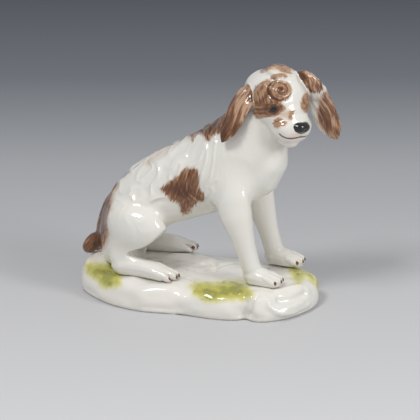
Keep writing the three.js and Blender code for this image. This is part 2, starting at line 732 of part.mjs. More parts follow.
function headPlace(forwardShare, leftShare, upShare) {
  const place = new THREE.Vector3(
    forwardShare * HEAD_LENGTH,
    leftShare * SKULL_WIDTH,
    upShare * SKULL_HEIGHT,
  );
  return place.applyMatrix4(headFrame);
}

function headDirection(direction) {
  return direction.clone().transformDirection(headFrame);
}

function headStations(shares) {
  return shares.map(([forward, up, half, over, under]) => ({
    place: headPlace(forward, 0, up),
    girth: new THREE.Vector3(half * SKULL_WIDTH, over * SKULL_HEIGHT, under * SKULL_HEIGHT),
  }));
}

// A low round knob standing out of the head, such as a curl or an eyeball.
function headKnob(place, radiusShare, heightShare, grown) {
  const knob = new THREE.SphereGeometry(1, BALL_FACETS.sides, BALL_FACETS.rings);
  const radius = radiusShare * SKULL_WIDTH + grown;
  knob.scale(radius, radius, heightShare * SKULL_WIDTH + grown);
  const outward = place.clone().sub(headPlace(...KNOB_CENTRE_SHARES)).normalize();
  const facing = new THREE.Vector3(0, 0, 1);
  knob.applyQuaternion(new THREE.Quaternion().setFromUnitVectors(facing, outward));
  knob.translate(...place.toArray());
  return solid(knob);
}

// The head: skull and muzzle with their soft forms, then its lobes and knobs.
function headForm(grown) {
  const across = headDirection(AXIS_LEFT);
  const skull = limb(headStations(SKULL_SHARES), across, SKULL_FACETS, grown);
  for (const [line, radiusShare, riseShare] of HEAD_SWELL_SHARES) {
    const path = line.map((shares) => headPlace(...shares));
    swell(skull, path, radiusShare * SKULL_WIDTH, riseShare * SKULL_WIDTH);
  }
  const lobes = HEAD_LOBE_SHARES.map((shares) => {
    const stations = shares.map(([forward, left, up, half, over, under]) => ({
      place: headPlace(forward, left, up),
      girth: new THREE.Vector3(half * SKULL_WIDTH, over * SKULL_HEIGHT, under * SKULL_HEIGHT),
    }));
    return solid(limb(stations, across, LOBE_FACETS, grown));
  });
  const knobs = HEAD_KNOB_SHARES.map(([forward, left, up, radiusShare, heightShare]) => {
    return headKnob(headPlace(forward, left, up), radiusShare, heightShare, grown);
  });
  return joined([solid(skull), ...lobes, ...knobs]);
}

// A leaf or lock of an ear, hanging from the ear's root.
function earForm(rootShares, shares, breadth, grown) {
  const root = headPlace(...rootShares);
  const stations = shares.map(([forward, out, up, half, thick]) => {
    const reach = new THREE.Vector3(forward, out, up).multiplyScalar(EAR_LENGTH);
    const direction = reach.clone().normalize();
    const place = root.clone();
    if (reach.length() > 0) {
      place.addScaledVector(headDirection(direction), reach.length());
    }
    const halfThickness = thick * EAR_THICKNESS;
    return {
      place,
      girth: new THREE.Vector3(half * EAR_WIDTH, halfThickness, halfThickness),
    };
  });
  return solid(limb(stations, headDirection(breadth), LIMB_FACETS, grown));
}

// Stations of a limb on one side of the dog.
function sideStations(shares, hand, lead, stance, rise, width, depth) {
  return shares.map(([forward, out, up, half, over, under]) => {
    const place = bodyPlace(0, (hand * out * stance) / 2, 0);
    place.x += forward * BODY_LENGTH + lead;
    place.z += up * rise;
    return {
      place,
      girth: new THREE.Vector3(half * width, over * depth, under * depth),
    };
  });
}

// A foreleg and its paw with four toes.
function forelegForm(hand, lead) {
  const width = FORELEG_WIDTH;
  const depth = FORELEG_DEPTH;
  const leg = sideStations(FORELEG_SHARES, hand, lead, FORE_STANCE, WITHERS_HEIGHT, width, depth);
  const paw = sideStations(
    FOREPAW_SHARES, hand, lead, FORE_STANCE, PAW_HEIGHT, PAW_WIDTH, PAW_HEIGHT,
  );
  const toes = FOREPAW_TOE_SHARES.map((shares) => {
    const toe = sideStations(
      shares, hand, lead, FORE_STANCE, PAW_HEIGHT, TOE_THICKNESS, TOE_THICKNESS,
    );
    return solid(limb(toe, AXIS_LEFT, TOE_FACETS, 0));
  });
  return joined([
    solid(limb(leg, AXIS_LEFT, LIMB_FACETS, 0)),
    solid(limb(paw, AXIS_LEFT, LOBE_FACETS, 0)),
    ...toes,
  ]);
}

// A folded hind leg: the thigh down to the knee, and the shank back to the hock.
function haunchForm(hand, lead, grown) {
  const parts = [THIGH_SHARES, SHANK_SHARES].map((shares) => {
    const stations = sideStations(
      shares, hand, lead, HIND_STANCE, WITHERS_HEIGHT, THIGH_WIDTH, THIGH_DEPTH,
    );
    return solid(limb(stations, AXIS_LEFT, LIMB_FACETS, grown));
  });
  return joined(parts);
}

// A hind foot lying along the ground, with four toes.
function hindFootForm(hand, lead) {
  const heelScale = HIND_FOOT_LENGTH / BODY_LENGTH;
  const fromHeel = (shares) => shares.map(([along, ...others]) => {
    return [HIND_HEEL_SHARE + along * heelScale, ...others];
  });
  const foot = sideStations(
    fromHeel(HIND_FOOT_SHARES), hand, lead, HIND_STANCE, PAW_HEIGHT, PAW_WIDTH, PAW_HEIGHT,
  );
  const toes = HIND_TOE_SHARES.map((shares) => {
    const toe = sideStations(
      fromHeel(shares), hand, lead, HIND_STANCE, PAW_HEIGHT, TOE_THICKNESS, TOE_THICKNESS,
    );
    return solid(limb(toe, AXIS_LEFT, TOE_FACETS, 0));
  });
  return joined([solid(limb(foot, AXIS_LEFT, LOBE_FACETS, 0)), ...toes]);
}

// The tail down the rump, and the curl at its end.
function tailForm() {
  const parts = [TAIL_SHARES, TAIL_CURL_SHARES].map((shares) => {
    const stations = shares.map(([back, left, up, half, over, under]) => {
      const place = bodyPlace(RUMP_SHARE, left * CHEST_WIDTH, up);
      place.x -= back * CHEST_DEPTH;
      return {
        place,
        girth: new THREE.Vector3(half, over, under).multiplyScalar(TAIL_THICKNESS),
      };
    });
    return solid(limb(stations, AXIS_LEFT, LOBE_FACETS, 0));
  });
  return joined(parts);
}

// The pieces, each cut back from those it is luted to by the film of slip.
const mound = moundForm(0).subtract(ventHole());
const moundGrown = moundForm(SLIP_FILM);
const headGrown = headForm(SLIP_FILM);
const trunkGrown = trunkForm(SLIP_FILM);

const head = headForm(0).add(trunkForm(0).intersect(aboveNeck(0)));
const trunk = trunkForm(0)
  .subtract(aboveNeck(SLIP_FILM))
  .subtract(headGrown)
  .subtract(moundGrown);

const earRight = earForm(RIGHT_EAR_ROOT_SHARES, RIGHT_EAR_SHARES, RIGHT_EAR_BREADTH, 0)
  .subtract(headGrown)
  .subtract(trunkGrown);
const earLeft = earForm(LEFT_EAR_ROOT_SHARES, LEFT_EAR_SHARES, LEFT_EAR_BREADTH, 0)
  .add(earForm(LEFT_EAR_ROOT_SHARES, LEFT_EAR_LOCK_SHARES, LEFT_EAR_BREADTH, 0))
  .subtract(headGrown)
  .subtract(trunkGrown);

function foreleg(hand, lead) {
  return forelegForm(hand, lead).subtract(trunkGrown).subtract(moundGrown);
}

function haunch(hand, lead) {
  return haunchForm(hand, lead, 0).subtract(trunkGrown).subtract(moundGrown);
}

function hindFoot(hand, haunchLead, lead) {
  return hindFootForm(hand, lead)
    .subtract(haunchForm(hand, haunchLead, SLIP_FILM))
    .subtract(trunkGrown)
    .subtract(moundGrown);
}

const tail = tailForm().subtract(trunkGrown).subtract(moundGrown);

// Glazed white body, brown painted fur, and the mound's glaze.
const WHITE_GLAZE = new THREE.Color(0.86, 0.85, 0.82);
const MOUND_GLAZE = new THREE.Color(0.84, 0.83, 0.79);
const BROWN_FUR = new THREE.Color(0.42, 0.22, 0.1);
const GLAZE_ROUGHNESS = 0.14;

const pieces = [
  ["base", mound, MOUND_GLAZE],
  ["trunk", trunk, WHITE_GLAZE],
  ["head", head, WHITE_GLAZE],
  ["ear_right", earRight, BROWN_FUR],
  ["ear_left", earLeft, BROWN_FUR],
  ["foreleg_right", foreleg(RIGHT, 0), WHITE_GLAZE],
  ["foreleg_left", foreleg(LEFT, FORELEG_LEAD), WHITE_GLAZE],
  ["haunch_right", haunch(RIGHT, 0), WHITE_GLAZE],
  ["haunch_left", haunch(LEFT, -HAUNCH_LAG), WHITE_GLAZE],
  ["hind_foot_right", hindFoot(RIGHT, 0, 0), WHITE_GLAZE],
  ["hind_foot_left", hindFoot(LEFT, -HAUNCH_LAG, -HIND_FOOT_LAG), WHITE_GLAZE],
  ["tail", tail, BROWN_FUR],
];

const group = new THREE.Group();
group.name = "seated_spaniel";
for (const [name, shape, colour] of pieces) {
  const surface = largest(shape).getMesh();
  const geometry = new THREE.BufferGeometry();
  const places = new Float32Array(surface.vertProperties);
  geometry.setAttribute("position", new THREE.BufferAttribute(places, 3));
  geometry.setIndex(new THREE.BufferAttribute(new Uint32Array(surface.triVerts), 1));
  geometry.computeVertexNormals();
  const material = new THREE.MeshStandardMaterial({
    color: colour,
    roughness: GLAZE_ROUGHNESS,
    metalness: 0,
  });
  const mesh = new THREE.Mesh(geometry, material);
  mesh.name = name;
  group.add(mesh);
}

// The whole figure stands centred over the origin, on its ground rim.
const extent = new THREE.Box3().setFromObject(group);
const middle = extent.getCenter(new THREE.Vector3());
for (const mesh of group.children) {
  mesh.geometry.translate(-middle.x, -middle.y, -extent.min.z);
}

export default group;
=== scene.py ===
import math

import bpy
import numpy as np
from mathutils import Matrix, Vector, noise
from mathutils.bvhtree import BVHTree


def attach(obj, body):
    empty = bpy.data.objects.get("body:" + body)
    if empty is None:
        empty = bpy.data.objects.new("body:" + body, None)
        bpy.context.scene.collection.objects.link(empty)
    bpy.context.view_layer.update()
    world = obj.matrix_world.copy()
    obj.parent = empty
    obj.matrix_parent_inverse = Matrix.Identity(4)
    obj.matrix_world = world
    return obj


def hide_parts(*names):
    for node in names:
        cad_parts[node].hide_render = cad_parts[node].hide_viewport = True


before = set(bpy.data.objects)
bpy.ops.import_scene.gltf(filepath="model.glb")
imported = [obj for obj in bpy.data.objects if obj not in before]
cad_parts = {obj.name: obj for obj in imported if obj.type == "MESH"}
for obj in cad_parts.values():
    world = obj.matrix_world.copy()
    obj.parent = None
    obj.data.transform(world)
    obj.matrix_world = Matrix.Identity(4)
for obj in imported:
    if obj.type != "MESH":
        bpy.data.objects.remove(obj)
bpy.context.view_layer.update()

# --------------------------------
# The luted figure: eleven moulded parts of porcelain paste, stuck together with slip, wiped
# smooth at the seams and glazed as one, so the skin runs on unbroken from part to part.
# Sizes are in millimetres until a piece is lifted off.
# --------------------------------
MOULDED = (
    "trunk", "head", "ear_right", "ear_left", "foreleg_right", "foreleg_left",
    "haunch_right", "haunch_left", "hind_foot_right", "hind_foot_left", "tail",
)
METRE = 1000.0
WELD_GAP = 0.002
GRAIN = 0.4
SLIP_SWELL = 0.30
GLAZE_DEPTH = 0.04
NEAR, FAR = 7.0, 9.0
OUTSIDE = -9.0
MIDLINE = 2.43
AZIMUTH, ELEVATION = math.radians(16.0), math.radians(19.0)
HEAD_PLACE = (34.183, 2.430, 106.196)
HEAD_TURN, HEAD_DROP, HEAD_TILT = 34.5, 20.0, 8.0
THROAT = (8.0, 0.0, -15.0)
FINE_ROUNDS, MIDDLE_ROUNDS, BROAD_ROUNDS = 8, 22, 130
SHOULDER_ROUNDS, HIP_ROUNDS = 700, 550
WIPES = 200
RUB = 0.6
LEAST_SHARE = 0.002
SEAM_WIPE, SHOULDER_WIPE, THIGH_WIPE, THROAT_WIPE = 0.07, 0.5, 0.14, 0.8
PAW_TOP, FACE_EDGE = (21.5, 27.0), (24.0, 31.0)
SHOULDER_SPAN, SHOULDER_FLOOR = (2.0, 8.5), (41.0, 49.0)
HIP_SPAN, HIP_FLOOR, HIP_FRONT = (3.0, 11.0), (19.0, 25.0), (-34.0, -22.0)
RECESS = (
    (-20.5, 32.4), (-22.4, 29.2), (-26.0, 25.5), (-29.7, 23.0), (-35.8, 21.2), (-38.8, 19.9),
    (-34.0, 19.1), (-28.5, 19.1), (-24.8, 18.1), (-21.1, 16.3), (-17.5, 14.5), (-12.0, 14.0),
    (-10.0, 28.0), (-16.0, 34.5),
)
RECESS_WALL, RECESS_FLOOR = 13.5, 17.0
CUT_HEIGHTS = (25.1, 26.8, 29.3, 32.3, 36.6, 40.1)
CUT_FRONTS = (-35.5, -32.0, -25.6, -21.5, -17.5, -15.0)
CUT_SHARE, CUT_SINK = 0.95, 5.0
SLIP_FILLS = (((12.0, -13.2, 69.0), (5.5, 2.3, 3.2)), ((12.0, 18.1, 69.0), (5.5, 2.3, 3.2)))


def put_in_scene(name, data):
    made = bpy.data.objects.new(name, data)
    bpy.context.scene.collection.objects.link(made)
    return made


def take_up(part):
    """Selects one part alone, for the operators that follow."""
    bpy.ops.object.select_all(action="DESELECT")
    part.select_set(True)
    bpy.context.view_layer.objects.active = part


def press(name):
    """A closed copy of a CAD part."""
    part = put_in_scene("pressed_" + name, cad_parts[name].data.copy())
    part.data.materials.clear()
    take_up(part)
    bpy.ops.object.mode_set(mode="EDIT")
    bpy.ops.mesh.select_all(action="SELECT")
    bpy.ops.mesh.remove_doubles(threshold=WELD_GAP / METRE)
    bpy.ops.object.mode_set(mode="OBJECT")
    return part


def finish_modifier(part, kind, **settings):
    modifier = part.modifiers.new(kind.lower(), kind)
    for key, value in settings.items():
        setattr(modifier, key, value)
    take_up(part)
    bpy.ops.object.modifier_apply(modifier=modifier.name)


def arrays(mesh):
    """Points in millimetres and four-cornered faces of a remeshed skin."""
    points = np.zeros(len(mesh.vertices) * 3)
    mesh.vertices.foreach_get("co", points)
    corners = np.zeros(len(mesh.loops), int)
    mesh.loops.foreach_get("vertex_index", corners)
    return points.reshape(-1, 3) * METRE, corners.reshape(-1, 4)


def ease(low, high, value):
    share = np.clip((value - low) / (high - low), 0.0, 1.0)
    return share * share * (3.0 - 2.0 * share)


def unit(vectors):
    vectors = np.asarray(vectors, float)
    length = np.linalg.norm(vectors, axis=-1, keepdims=True)
    return vectors / np.maximum(length, 1e-9)


def sides(faces):
    """The sides of four-cornered faces, as pairs of points."""
    return np.concatenate([faces[:, [k, (k + 1) % 4]] for k in range(4)])


class Skin:
    """A fine skin that is modelled point by point."""

    def __init__(self, mesh):
        self.points, self.faces = arrays(mesh)
        ends = sides(self.faces)
        ends = np.concatenate([ends, ends[:, ::-1]])
        key = np.unique(ends[:, 0] * len(self.points) + ends[:, 1])
        source, self.target = np.divmod(key, len(self.points))
        self.starts = np.searchsorted(source, np.arange(len(self.points)))
        self.count = np.bincount(source, minlength=len(self.points)).astype(float)

    def mean(self, values):
        total = np.add.reduceat(values[self.target], self.starts)
        return total / (self.count[:, None] if values.ndim > 1 else self.count)

    def spread(self, values, rounds):
        for _ in range(rounds):
            values = (1.0 - RUB) * values + RUB * self.mean(values)
        return values

    def fettled(self, rounds):
        """The points with all that is small rubbed off, but with the bulk kept."""
        once = self.spread(self.points, rounds)
        return 2.0 * once - self.spread(once, rounds)

    def beside(self, picks):
        """The neighbours of some points in one row, where each one's begin, and how many."""
        sizes = self.count[picks].astype(int)
        begins = np.concatenate([[0], np.cumsum(sizes)[:-1]])
        row = np.repeat(self.starts[picks] - begins, sizes) + np.arange(sizes.sum())
        return self.target[row], begins, sizes[:, None]

    def wipe(self, rounds, share):
        """Wipes the skin smooth where share is high; seams fill as with slip."""
        picks = np.flatnonzero(share > LEAST_SHARE)
        near, begins, sizes = self.beside(picks)
        push = RUB * share[picks, None]
        for _ in range(rounds):
            mean = np.add.reduceat(self.points[near], begins) / sizes
            self.points[picks] += push * (mean - self.points[picks])

    def blend_in(self, rounds, share):
        """Fettles broadly where share is above 0, so that one form runs into the next."""
        picks = np.flatnonzero(share > LEAST_SHARE)
        near, begins, sizes = self.beside(picks)
        stages = [self.points]
        for _ in range(2):
            points = stages[-1].copy()
            for _ in range(rounds):
                mean = np.add.reduceat(points[near], begins) / sizes
                points[picks] += RUB * (mean - points[picks])
            stages.append(points)
        self.points += share[:, None] * (2.0 * stages[1] - stages[2] - self.points)

    def normals(self):
        corner = self.points[self.faces]
        across = np.cross(corner[:, 2] - corner[:, 0], corner[:, 3] - corner[:, 1])
        total = np.zeros_like(self.points)
        for k in range(4):
            for axis in range(3):
                total[:, axis] += np.bincount(
                    self.faces[:, k], across[:, axis], minlength=len(self.points)
                )
        return unit(total)

    def raise_by(self, height):
        self.points += self.normals() * height[:, None]


def distances(points, name):
    """From each point to a CAD part's surface, or FAR where it is not near."""
    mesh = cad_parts[name].data
    own = np.zeros(len(mesh.vertices) * 3)
    mesh.vertices.foreach_get("co", own)
    own = own.reshape(-1, 3) * METRE
    tree = BVHTree.FromPolygons(own.tolist(), [tuple(p.vertices) for p in mesh.polygons])
    close = ((points > own.min(0) - NEAR) & (points < own.max(0) + NEAR)).all(1)
    found = np.full(len(points), FAR)
    for i in np.flatnonzero(close):
        found[i] = min(FAR, tree.find_nearest(points[i])[3])
    return found


def head_turned():
    turn, drop, tilt = (math.radians(v) for v in (-HEAD_TURN, HEAD_DROP, -HEAD_TILT))
    c, s = math.cos(turn), math.sin(turn)
    about_z = np.array([[c, -s, 0], [s, c, 0], [0, 0, 1]])
    c, s = math.cos(drop), math.sin(drop)
    about_y = np.array([[c, 0, s], [0, 1, 0], [-s, 0, c]])
    c, s = math.cos(tilt), math.sin(tilt)
    about_x = np.array([[1, 0, 0], [0, c, -s], [0, s, c]])
    return about_z @ about_y @ about_x


def seen(points):
    """Millimetres across and up, as the modeller sees the figure from the near side."""
    return np.stack([points @ right_way, points @ up_way], 1)


def mirrored(points):
    return points * (1.0, -1.0, 1.0) + (0.0, 2.0 * MIDLINE, 0.0)


def patch(places, outline):
    """How deep a place lies in an outlined patch, in millimetres; below 0 outside it."""
    outline = np.asarray(outline, float)
    best = np.full(len(places), 1e9)
    within = np.zeros(len(places), bool)
    for start, end in zip(outline, np.roll(outline, -1, axis=0)):
        edge = end - start
        offset = places - start
        share = np.clip(offset @ edge / (edge @ edge), 0.0, 1.0)
        best = np.minimum(best, np.hypot(*(offset - share[:, None] * edge).T))
        crosses = (start[1] > places[:, 1]) != (end[1] > places[:, 1])
        rise = edge[1] if abs(edge[1]) > 1e-9 else 1e-9
        crossing = start[0] + (places[:, 1] - start[1]) / rise * edge[0]
        within ^= crosses & (places[:, 0] < crossing)
    return np.where(within, best, -best)


right_way = np.array([math.cos(AZIMUTH), math.sin(AZIMUTH), 0.0])
toward_way = np.array([math.sin(AZIMUTH) * math.cos(ELEVATION),
                       -math.cos(AZIMUTH) * math.cos(ELEVATION), math.sin(ELEVATION)])
up_way = np.cross(toward_way, right_way)
pressed = [press(name) for name in MOULDED]
for part in pressed:
    finish_modifier(part, "DISPLACE", strength=SLIP_SWELL / METRE, mid_level=0.0)
for place, radii in SLIP_FILLS:
    bpy.ops.mesh.primitive_uv_sphere_add(
        segments=32, ring_count=16, radius=1.0 / METRE, location=np.array(place) / METRE,
        scale=radii)
    pressed.append(bpy.context.object)
take_up(pressed[0])
for part in pressed:
    part.select_set(True)
bpy.ops.object.join()
finish_modifier(pressed[0], "REMESH", mode="VOXEL", voxel_size=GRAIN / METRE)
skin = Skin(pressed[0].data)
bpy.data.objects.remove(pressed[0])

reach = {name: distances(skin.points, name) for name in MOULDED}


def least(*names):
    return np.min([reach[name] for name in names], axis=0)


head_axes = head_turned()
x, y, z = skin.points.T.copy()
legs = least("foreleg_right", "foreleg_left")
haunches = least("haunch_right", "haunch_left")
feet = least("foreleg_right", "foreleg_left", "hind_foot_right", "hind_foot_left")
paws = (1.0 - ease(*PAW_TOP, z)) * (1.0 - ease(0.5, 3.0, feet))
from_face = np.linalg.norm(skin.points - HEAD_PLACE, axis=1)
face = np.maximum(1.0 - ease(*FACE_EDGE, from_face),
                  1.0 - ease(0.8, 2.5, least("ear_right", "ear_left", "tail")))
paws, face = skin.spread(paws, 20)[:, None], skin.spread(face, 20)[:, None]
fine, middle, broad = (
    skin.fettled(rounds) for rounds in (FINE_ROUNDS, MIDDLE_ROUNDS, BROAD_ROUNDS)
)
skin.points = broad + (middle - broad) * face
skin.points += (fine - skin.points) * paws

shoulders = 1.0 - ease(*SHOULDER_SPAN, np.maximum(reach["trunk"], legs))
hips = 1.0 - ease(*HIP_SPAN, np.maximum(reach["trunk"], haunches))
skin.blend_in(SHOULDER_ROUNDS, skin.spread(shoulders * ease(*SHOULDER_FLOOR, z), 15))
hips *= ease(*HIP_FLOOR, z) * (1.0 - ease(*HIP_FRONT, x))
skin.blend_in(HIP_ROUNDS, skin.spread(hips, 45))

# The thigh is cut back underneath, so that it stands clear of the foot.
for name, hand in (("haunch_right", -1.0), ("haunch_left", 1.0)):
    points = skin.points if hand < 0.0 else mirrored(skin.points)
    out = MIDLINE - points[:, 1]
    own = (reach[name] < 2.5) & (out > RECESS_WALL) & (points[:, 2] > RECESS_FLOOR)
    deep = np.where(own, patch(seen(points), RECESS), OUTSIDE)
    push = ease(-0.3, 2.2, deep) * (out - RECESS_WALL)
    skin.points[:, 1] -= hand * np.where(own, push, 0.0)
x, y, z = skin.points.T.copy()
over = np.maximum(x - np.interp(z, CUT_HEIGHTS, CUT_FRONTS), 0.0)
over *= ease(0.3, 1.0, least("hind_foot_right", "hind_foot_left")) * (x < 5.0)
skin.points[:, 0] -= CUT_SHARE * over * (1.0 - ease(36.0, 40.0, z))
skin.points[:, 2] -= CUT_SINK * ease(0.0, 6.0, over) * (1.0 - ease(17.0, 23.0, z))
x, y, z = skin.points.T.copy()

second = np.sort(np.stack([reach[name] for name in MOULDED]), axis=0)[1]
throat = np.array(HEAD_PLACE) + np.array(THROAT) @ head_axes.T
from_throat = np.linalg.norm(skin.points - throat, axis=1)
wiped = SEAM_WIPE * (1.0 - ease(0.6, 3.0, second)) * (1.0 - 0.6 * paws[:, 0])
for share in (
    SHOULDER_WIPE * shoulders * ease(*SHOULDER_FLOOR, z),
    THIGH_WIPE * (1.0 - ease(1.0, 3.0, haunches)) * ease(18.0, 20.0, z)
    * (1.0 - ease(33.0, 40.0, z)),
    THROAT_WIPE * (1.0 - ease(6.0, 12.0, from_throat)),
):
    wiped = np.maximum(wiped, share)
skin.wipe(WIPES, skin.spread(wiped, 10))
skin.raise_by(np.full(len(skin.points), GLAZE_DEPTH - SLIP_SWELL))

# --------------------------------
# Trunk: rump, barrel, breast and lower neck, pressed in one mould. Long wavy locks are
# modelled down its neck, back and flanks, and brown fur is brushed on in patches. Outlines
# of paint are drawn as the painter sees them: millimetres across and up, from the near side.
# --------------------------------
LOCK_SIZE = (4.4, 14.0, 12.0)
LOCK_HEIGHT, LOCK_EDGE = 0.85, 0.42
RIPPLE_SIZE = (3.1, 13.0, 9.0)
LOCK_WAVE, LOCK_PERIOD = 1.7, 3.9
STRAND_CENTRE = (8.0, 118.0)
STRAND_FAN = 45.0
FLANK_PATCH = (
    (-22.4, 52.7), (-20.9, 54.2), (-19.4, 55.6), (-17.9, 56.9), (-16.5, 57.1), (-15.0, 58.6),
    (-13.5, 59.1), (-12.1, 61.0), (-10.6, 62.5), (-9.1, 63.5), (-7.7, 62.5), (-5.7, 63.0),
    (-4.2, 62.2), (-3.4, 59.1), (-3.5, 55.6), (-3.2, 52.7), (-1.8, 50.7), (-0.6, 48.3),
    (-1.3, 46.8), (-3.2, 46.3), (-4.7, 45.8), (-5.7, 44.4), (-7.2, 42.2), (-9.1, 40.4),
    (-11.1, 40.2), (-12.6, 41.2), (-13.0, 43.9), (-14.0, 45.8), (-16.5, 46.8), (-18.4, 47.8),
    (-19.9, 49.7), (-21.4, 51.2),
)
FLANK_DARK = (
    (-18.4, 52.7), (-16.0, 55.1), (-13.0, 55.6), (-10.6, 55.1), (-7.7, 53.2), (-6.2, 51.7),
    (-7.2, 49.7), (-9.6, 48.3), (-13.0, 48.8), (-16.0, 49.7), (-17.9, 50.7),
)
NAPE_PATCH = (
    (-8.6, 79.1), (-9.0, 83.0), (-4.7, 88.0), (-0.8, 90.0), (3.1, 93.0), (7.0, 95.0),
    (11.0, 98.0), (16.0, 101.0), (17.0, 95.0), (13.9, 91.4), (11.5, 88.5), (9.5, 85.0),
    (8.0, 81.6), (6.8, 79.4), (5.1, 79.6), (3.1, 77.9), (1.2, 76.0), (-0.3, 76.2),
    (-1.3, 78.2), (-3.2, 79.6), (-4.7, 79.5), (-5.7, 77.7), (-6.7, 76.2), (-7.7, 77.2),
)
FAR_PATCH = (
    (-24.0, 62.0), (-19.0, 66.0), (-14.0, 64.5), (-9.0, 66.0), (-7.0, 60.0), (-10.5, 55.0),
    (-9.0, 48.5), (-14.0, 46.0), (-20.0, 48.5), (-26.0, 50.0), (-29.0, 55.0), (-27.5, 60.0),
)
RUMP_PATCH = (
    (-45.5, 54.5), (-47.6, 50.5), (-48.3, 46.0), (-48.6, 41.7), (-48.8, 35.8), (-49.6, 31.9),
    (-50.5, 27.0), (-53.0, 23.5), (-62.0, 24.0), (-62.0, 48.0), (-50.0, 60.0),
)
RUMP_COAT, RUMP_WASH = 1.4, 3.4
RUMP_NEAR, RUMP_FAR = 5.0, 15.0
RUMP_FRONT, RUMP_FLOOR = -38.0, 21.0
BACK_WASH = ((-7.0, 80.0), (-14.0, 77.0), (-21.0, 72.0), (-28.5, 65.5))

smooth_reach = {name: skin.spread(reach[name], 12) for name in MOULDED}
order = np.stack([smooth_reach[name] for name in MOULDED])
owner = order.argmin(0)
margin = np.sort(order, axis=0)
margin = margin[1] - margin[0]


def belongs(name):
    return owner == MOULDED.index(name)


def inside(name, low=0.5, high=2.5):
    """1 well inside a part and 0 at its seams, so that no seam opens."""
    return np.where(belongs(name), ease(low, high, margin), 0.0)


def grain(points, sizes, shift=0.0):
    """Cloudy noise from -1 to 1, with a grain of the given size along each axis."""
    places = points / np.asarray(sizes, float) + shift
    return np.array([noise.noise(place) for place in places.tolist()])


def to_line(points, stops):
    """Distance to a line through stops, and how far along it."""
    stops = np.asarray(stops, float)
    best = np.full(len(points), 1e9)
    along = np.zeros(len(points))
    walked = 0.0
    for start, end in zip(stops[:-1], stops[1:]):
        edge = end - start
        length = np.linalg.norm(edge)
        offset = points - start
        share = np.clip(offset @ edge / length**2, 0.0, 1.0)
        gap = np.linalg.norm(offset - share[:, None] * edge, axis=1)
        closer = gap < best
        best = np.where(closer, gap, best)
        along = np.where(closer, walked + share * length, along)
        walked += length
    return best, along / walked


def crests(cloud, width):
    """Sharp ridges of 1 where a cloud of noise passes 0, down to 0 at the width."""
    return 1.0 - np.minimum(np.abs(cloud), width) / width


x, y, z = skin.points.T.copy()
from_centre = np.stack([x - STRAND_CENTRE[0], z - STRAND_CENTRE[1]], 1)
strand_across = np.arctan2(from_centre[:, 0], -from_centre[:, 1]) * STRAND_FAN
strand_along = np.hypot(*from_centre.T)
warp = grain(skin.points, (10.0, 10.0, 10.0), 3.1)
flow = np.stack([
    strand_across + LOCK_WAVE * np.sin(strand_along / LOCK_PERIOD + warp * 3.0),
    strand_along + 4.0 * warp,
    y,
], 1)
crest = crests(grain(flow, LOCK_SIZE, 11.3), LOCK_EDGE)
ripple = grain(flow, RIPPLE_SIZE, 27.0)
furry = ease(40.0, 56.0, z) * (1.0 - 0.93 * ease(4.0, 16.0, x))
body = sum(inside(name, -1.0, 0.2) for name in ("trunk", "foreleg_right", "foreleg_left"))
thighs = inside("haunch_right", -1.0, 0.2) + inside("haunch_left", -1.0, 0.2)
body = np.clip(body, 0, 1) * furry + 0.18 * thighs * ease(24.0, 32.0, z)
body *= 1.0 - 0.6 * ease(-1.0, 2.0, patch(seen(skin.points), FLANK_PATCH)) * (y < MIDLINE)
body = skin.spread(body, 14)
skin.raise_by((crest**1.7 - 0.35 + 0.35 * ripple) * LOCK_HEIGHT * body)

facing = skin.spread(skin.normals() @ toward_way, 3)
front = facing > -0.1
x, y, z = skin.points.T.copy()
flat = seen(skin.points)
flat_far = seen(mirrored(skin.points))

# How deep each point lies in each kind of paint, in millimetres, and how dark that is.
tan = ink = line = np.full(len(skin.points), OUTSIDE)
shade = blush = np.zeros(len(skin.points))
strand = np.stack([strand_across, strand_along, y], 1)
near_side = y < MIDLINE
side = np.stack([x, z], 1)
flank = np.where(near_side, patch(flat, FLANK_PATCH), patch(side, FAR_PATCH))
nape = np.where(front, patch(flat, NAPE_PATCH), patch(flat_far, NAPE_PATCH))
coat = np.maximum(flank, nape)
shade = np.where(near_side, 0.5 * ease(-1.5, 2.5, patch(flat, FLANK_DARK)), shade)
shade += 0.15 + 0.65 * ease(0.5, 6.0, nape)
ridge, _ = to_line(np.where(front[:, None], flat, flat_far), BACK_WASH)
tan = np.maximum(tan, 1.1 - 0.5 * ridge)
coat = np.where(z > 22.0, np.maximum(coat, RUMP_COAT - reach["tail"]), coat)
rump = np.where(front, patch(flat, RUMP_PATCH), patch(flat_far, RUMP_PATCH))
rump = np.minimum(np.maximum(rump, RUMP_NEAR - reach["tail"]), RUMP_FAR - np.abs(y - MIDLINE))
rump = np.where((x < RUMP_FRONT) & (z > RUMP_FLOOR), rump, OUTSIDE)
coat, tan = np.maximum(coat, rump + RUMP_COAT), np.maximum(tan, rump + RUMP_WASH)
shade = np.where(x < RUMP_FRONT, shade + 0.45 * ease(-0.5, 2.0, rump), shade)
blush = np.maximum(blush, 0.8 * (1.0 - ease(1.0, 8.0, reach["tail"])))

# Shared: glaze and enamel, and the cut that lifts one part off the figure.
PASTE_ROUGHNESS = 0.32
PASTE_SPECULAR = 0.12
GLAZE_COAT = 1.0
GLAZE_COAT_ROUGHNESS = 0.045
PORCELAIN = (0.80, 0.765, 0.70, 1.0)
PORCELAIN_COOL = (0.74, 0.735, 0.68, 1.0)
BLUSH = (0.72, 0.58, 0.50, 1.0)
TAN = (0.56, 0.40, 0.27, 1.0)
BROWN_DARK = (0.088, 0.030, 0.010, 1.0)
BROWN = (0.185, 0.076, 0.031, 1.0)
BROWN_PALE = (0.40, 0.225, 0.125, 1.0)
INK = (0.010, 0.008, 0.007, 1.0)
LINE = (0.105, 0.042, 0.022, 1.0)
HAIR_SCALE, TUFT_SCALE = (2.5, 0.14, 0.5), (0.85, 0.07, 0.4)
CLOUD_SCALE, CLOUD_EDGE, CLOUD_SHARE = 60.0, (0.38, 0.68), 0.6
GLAZE_WAVES = 190.0
BUMP_STRENGTH = 0.25
FUR_RELIEF = 0.0003
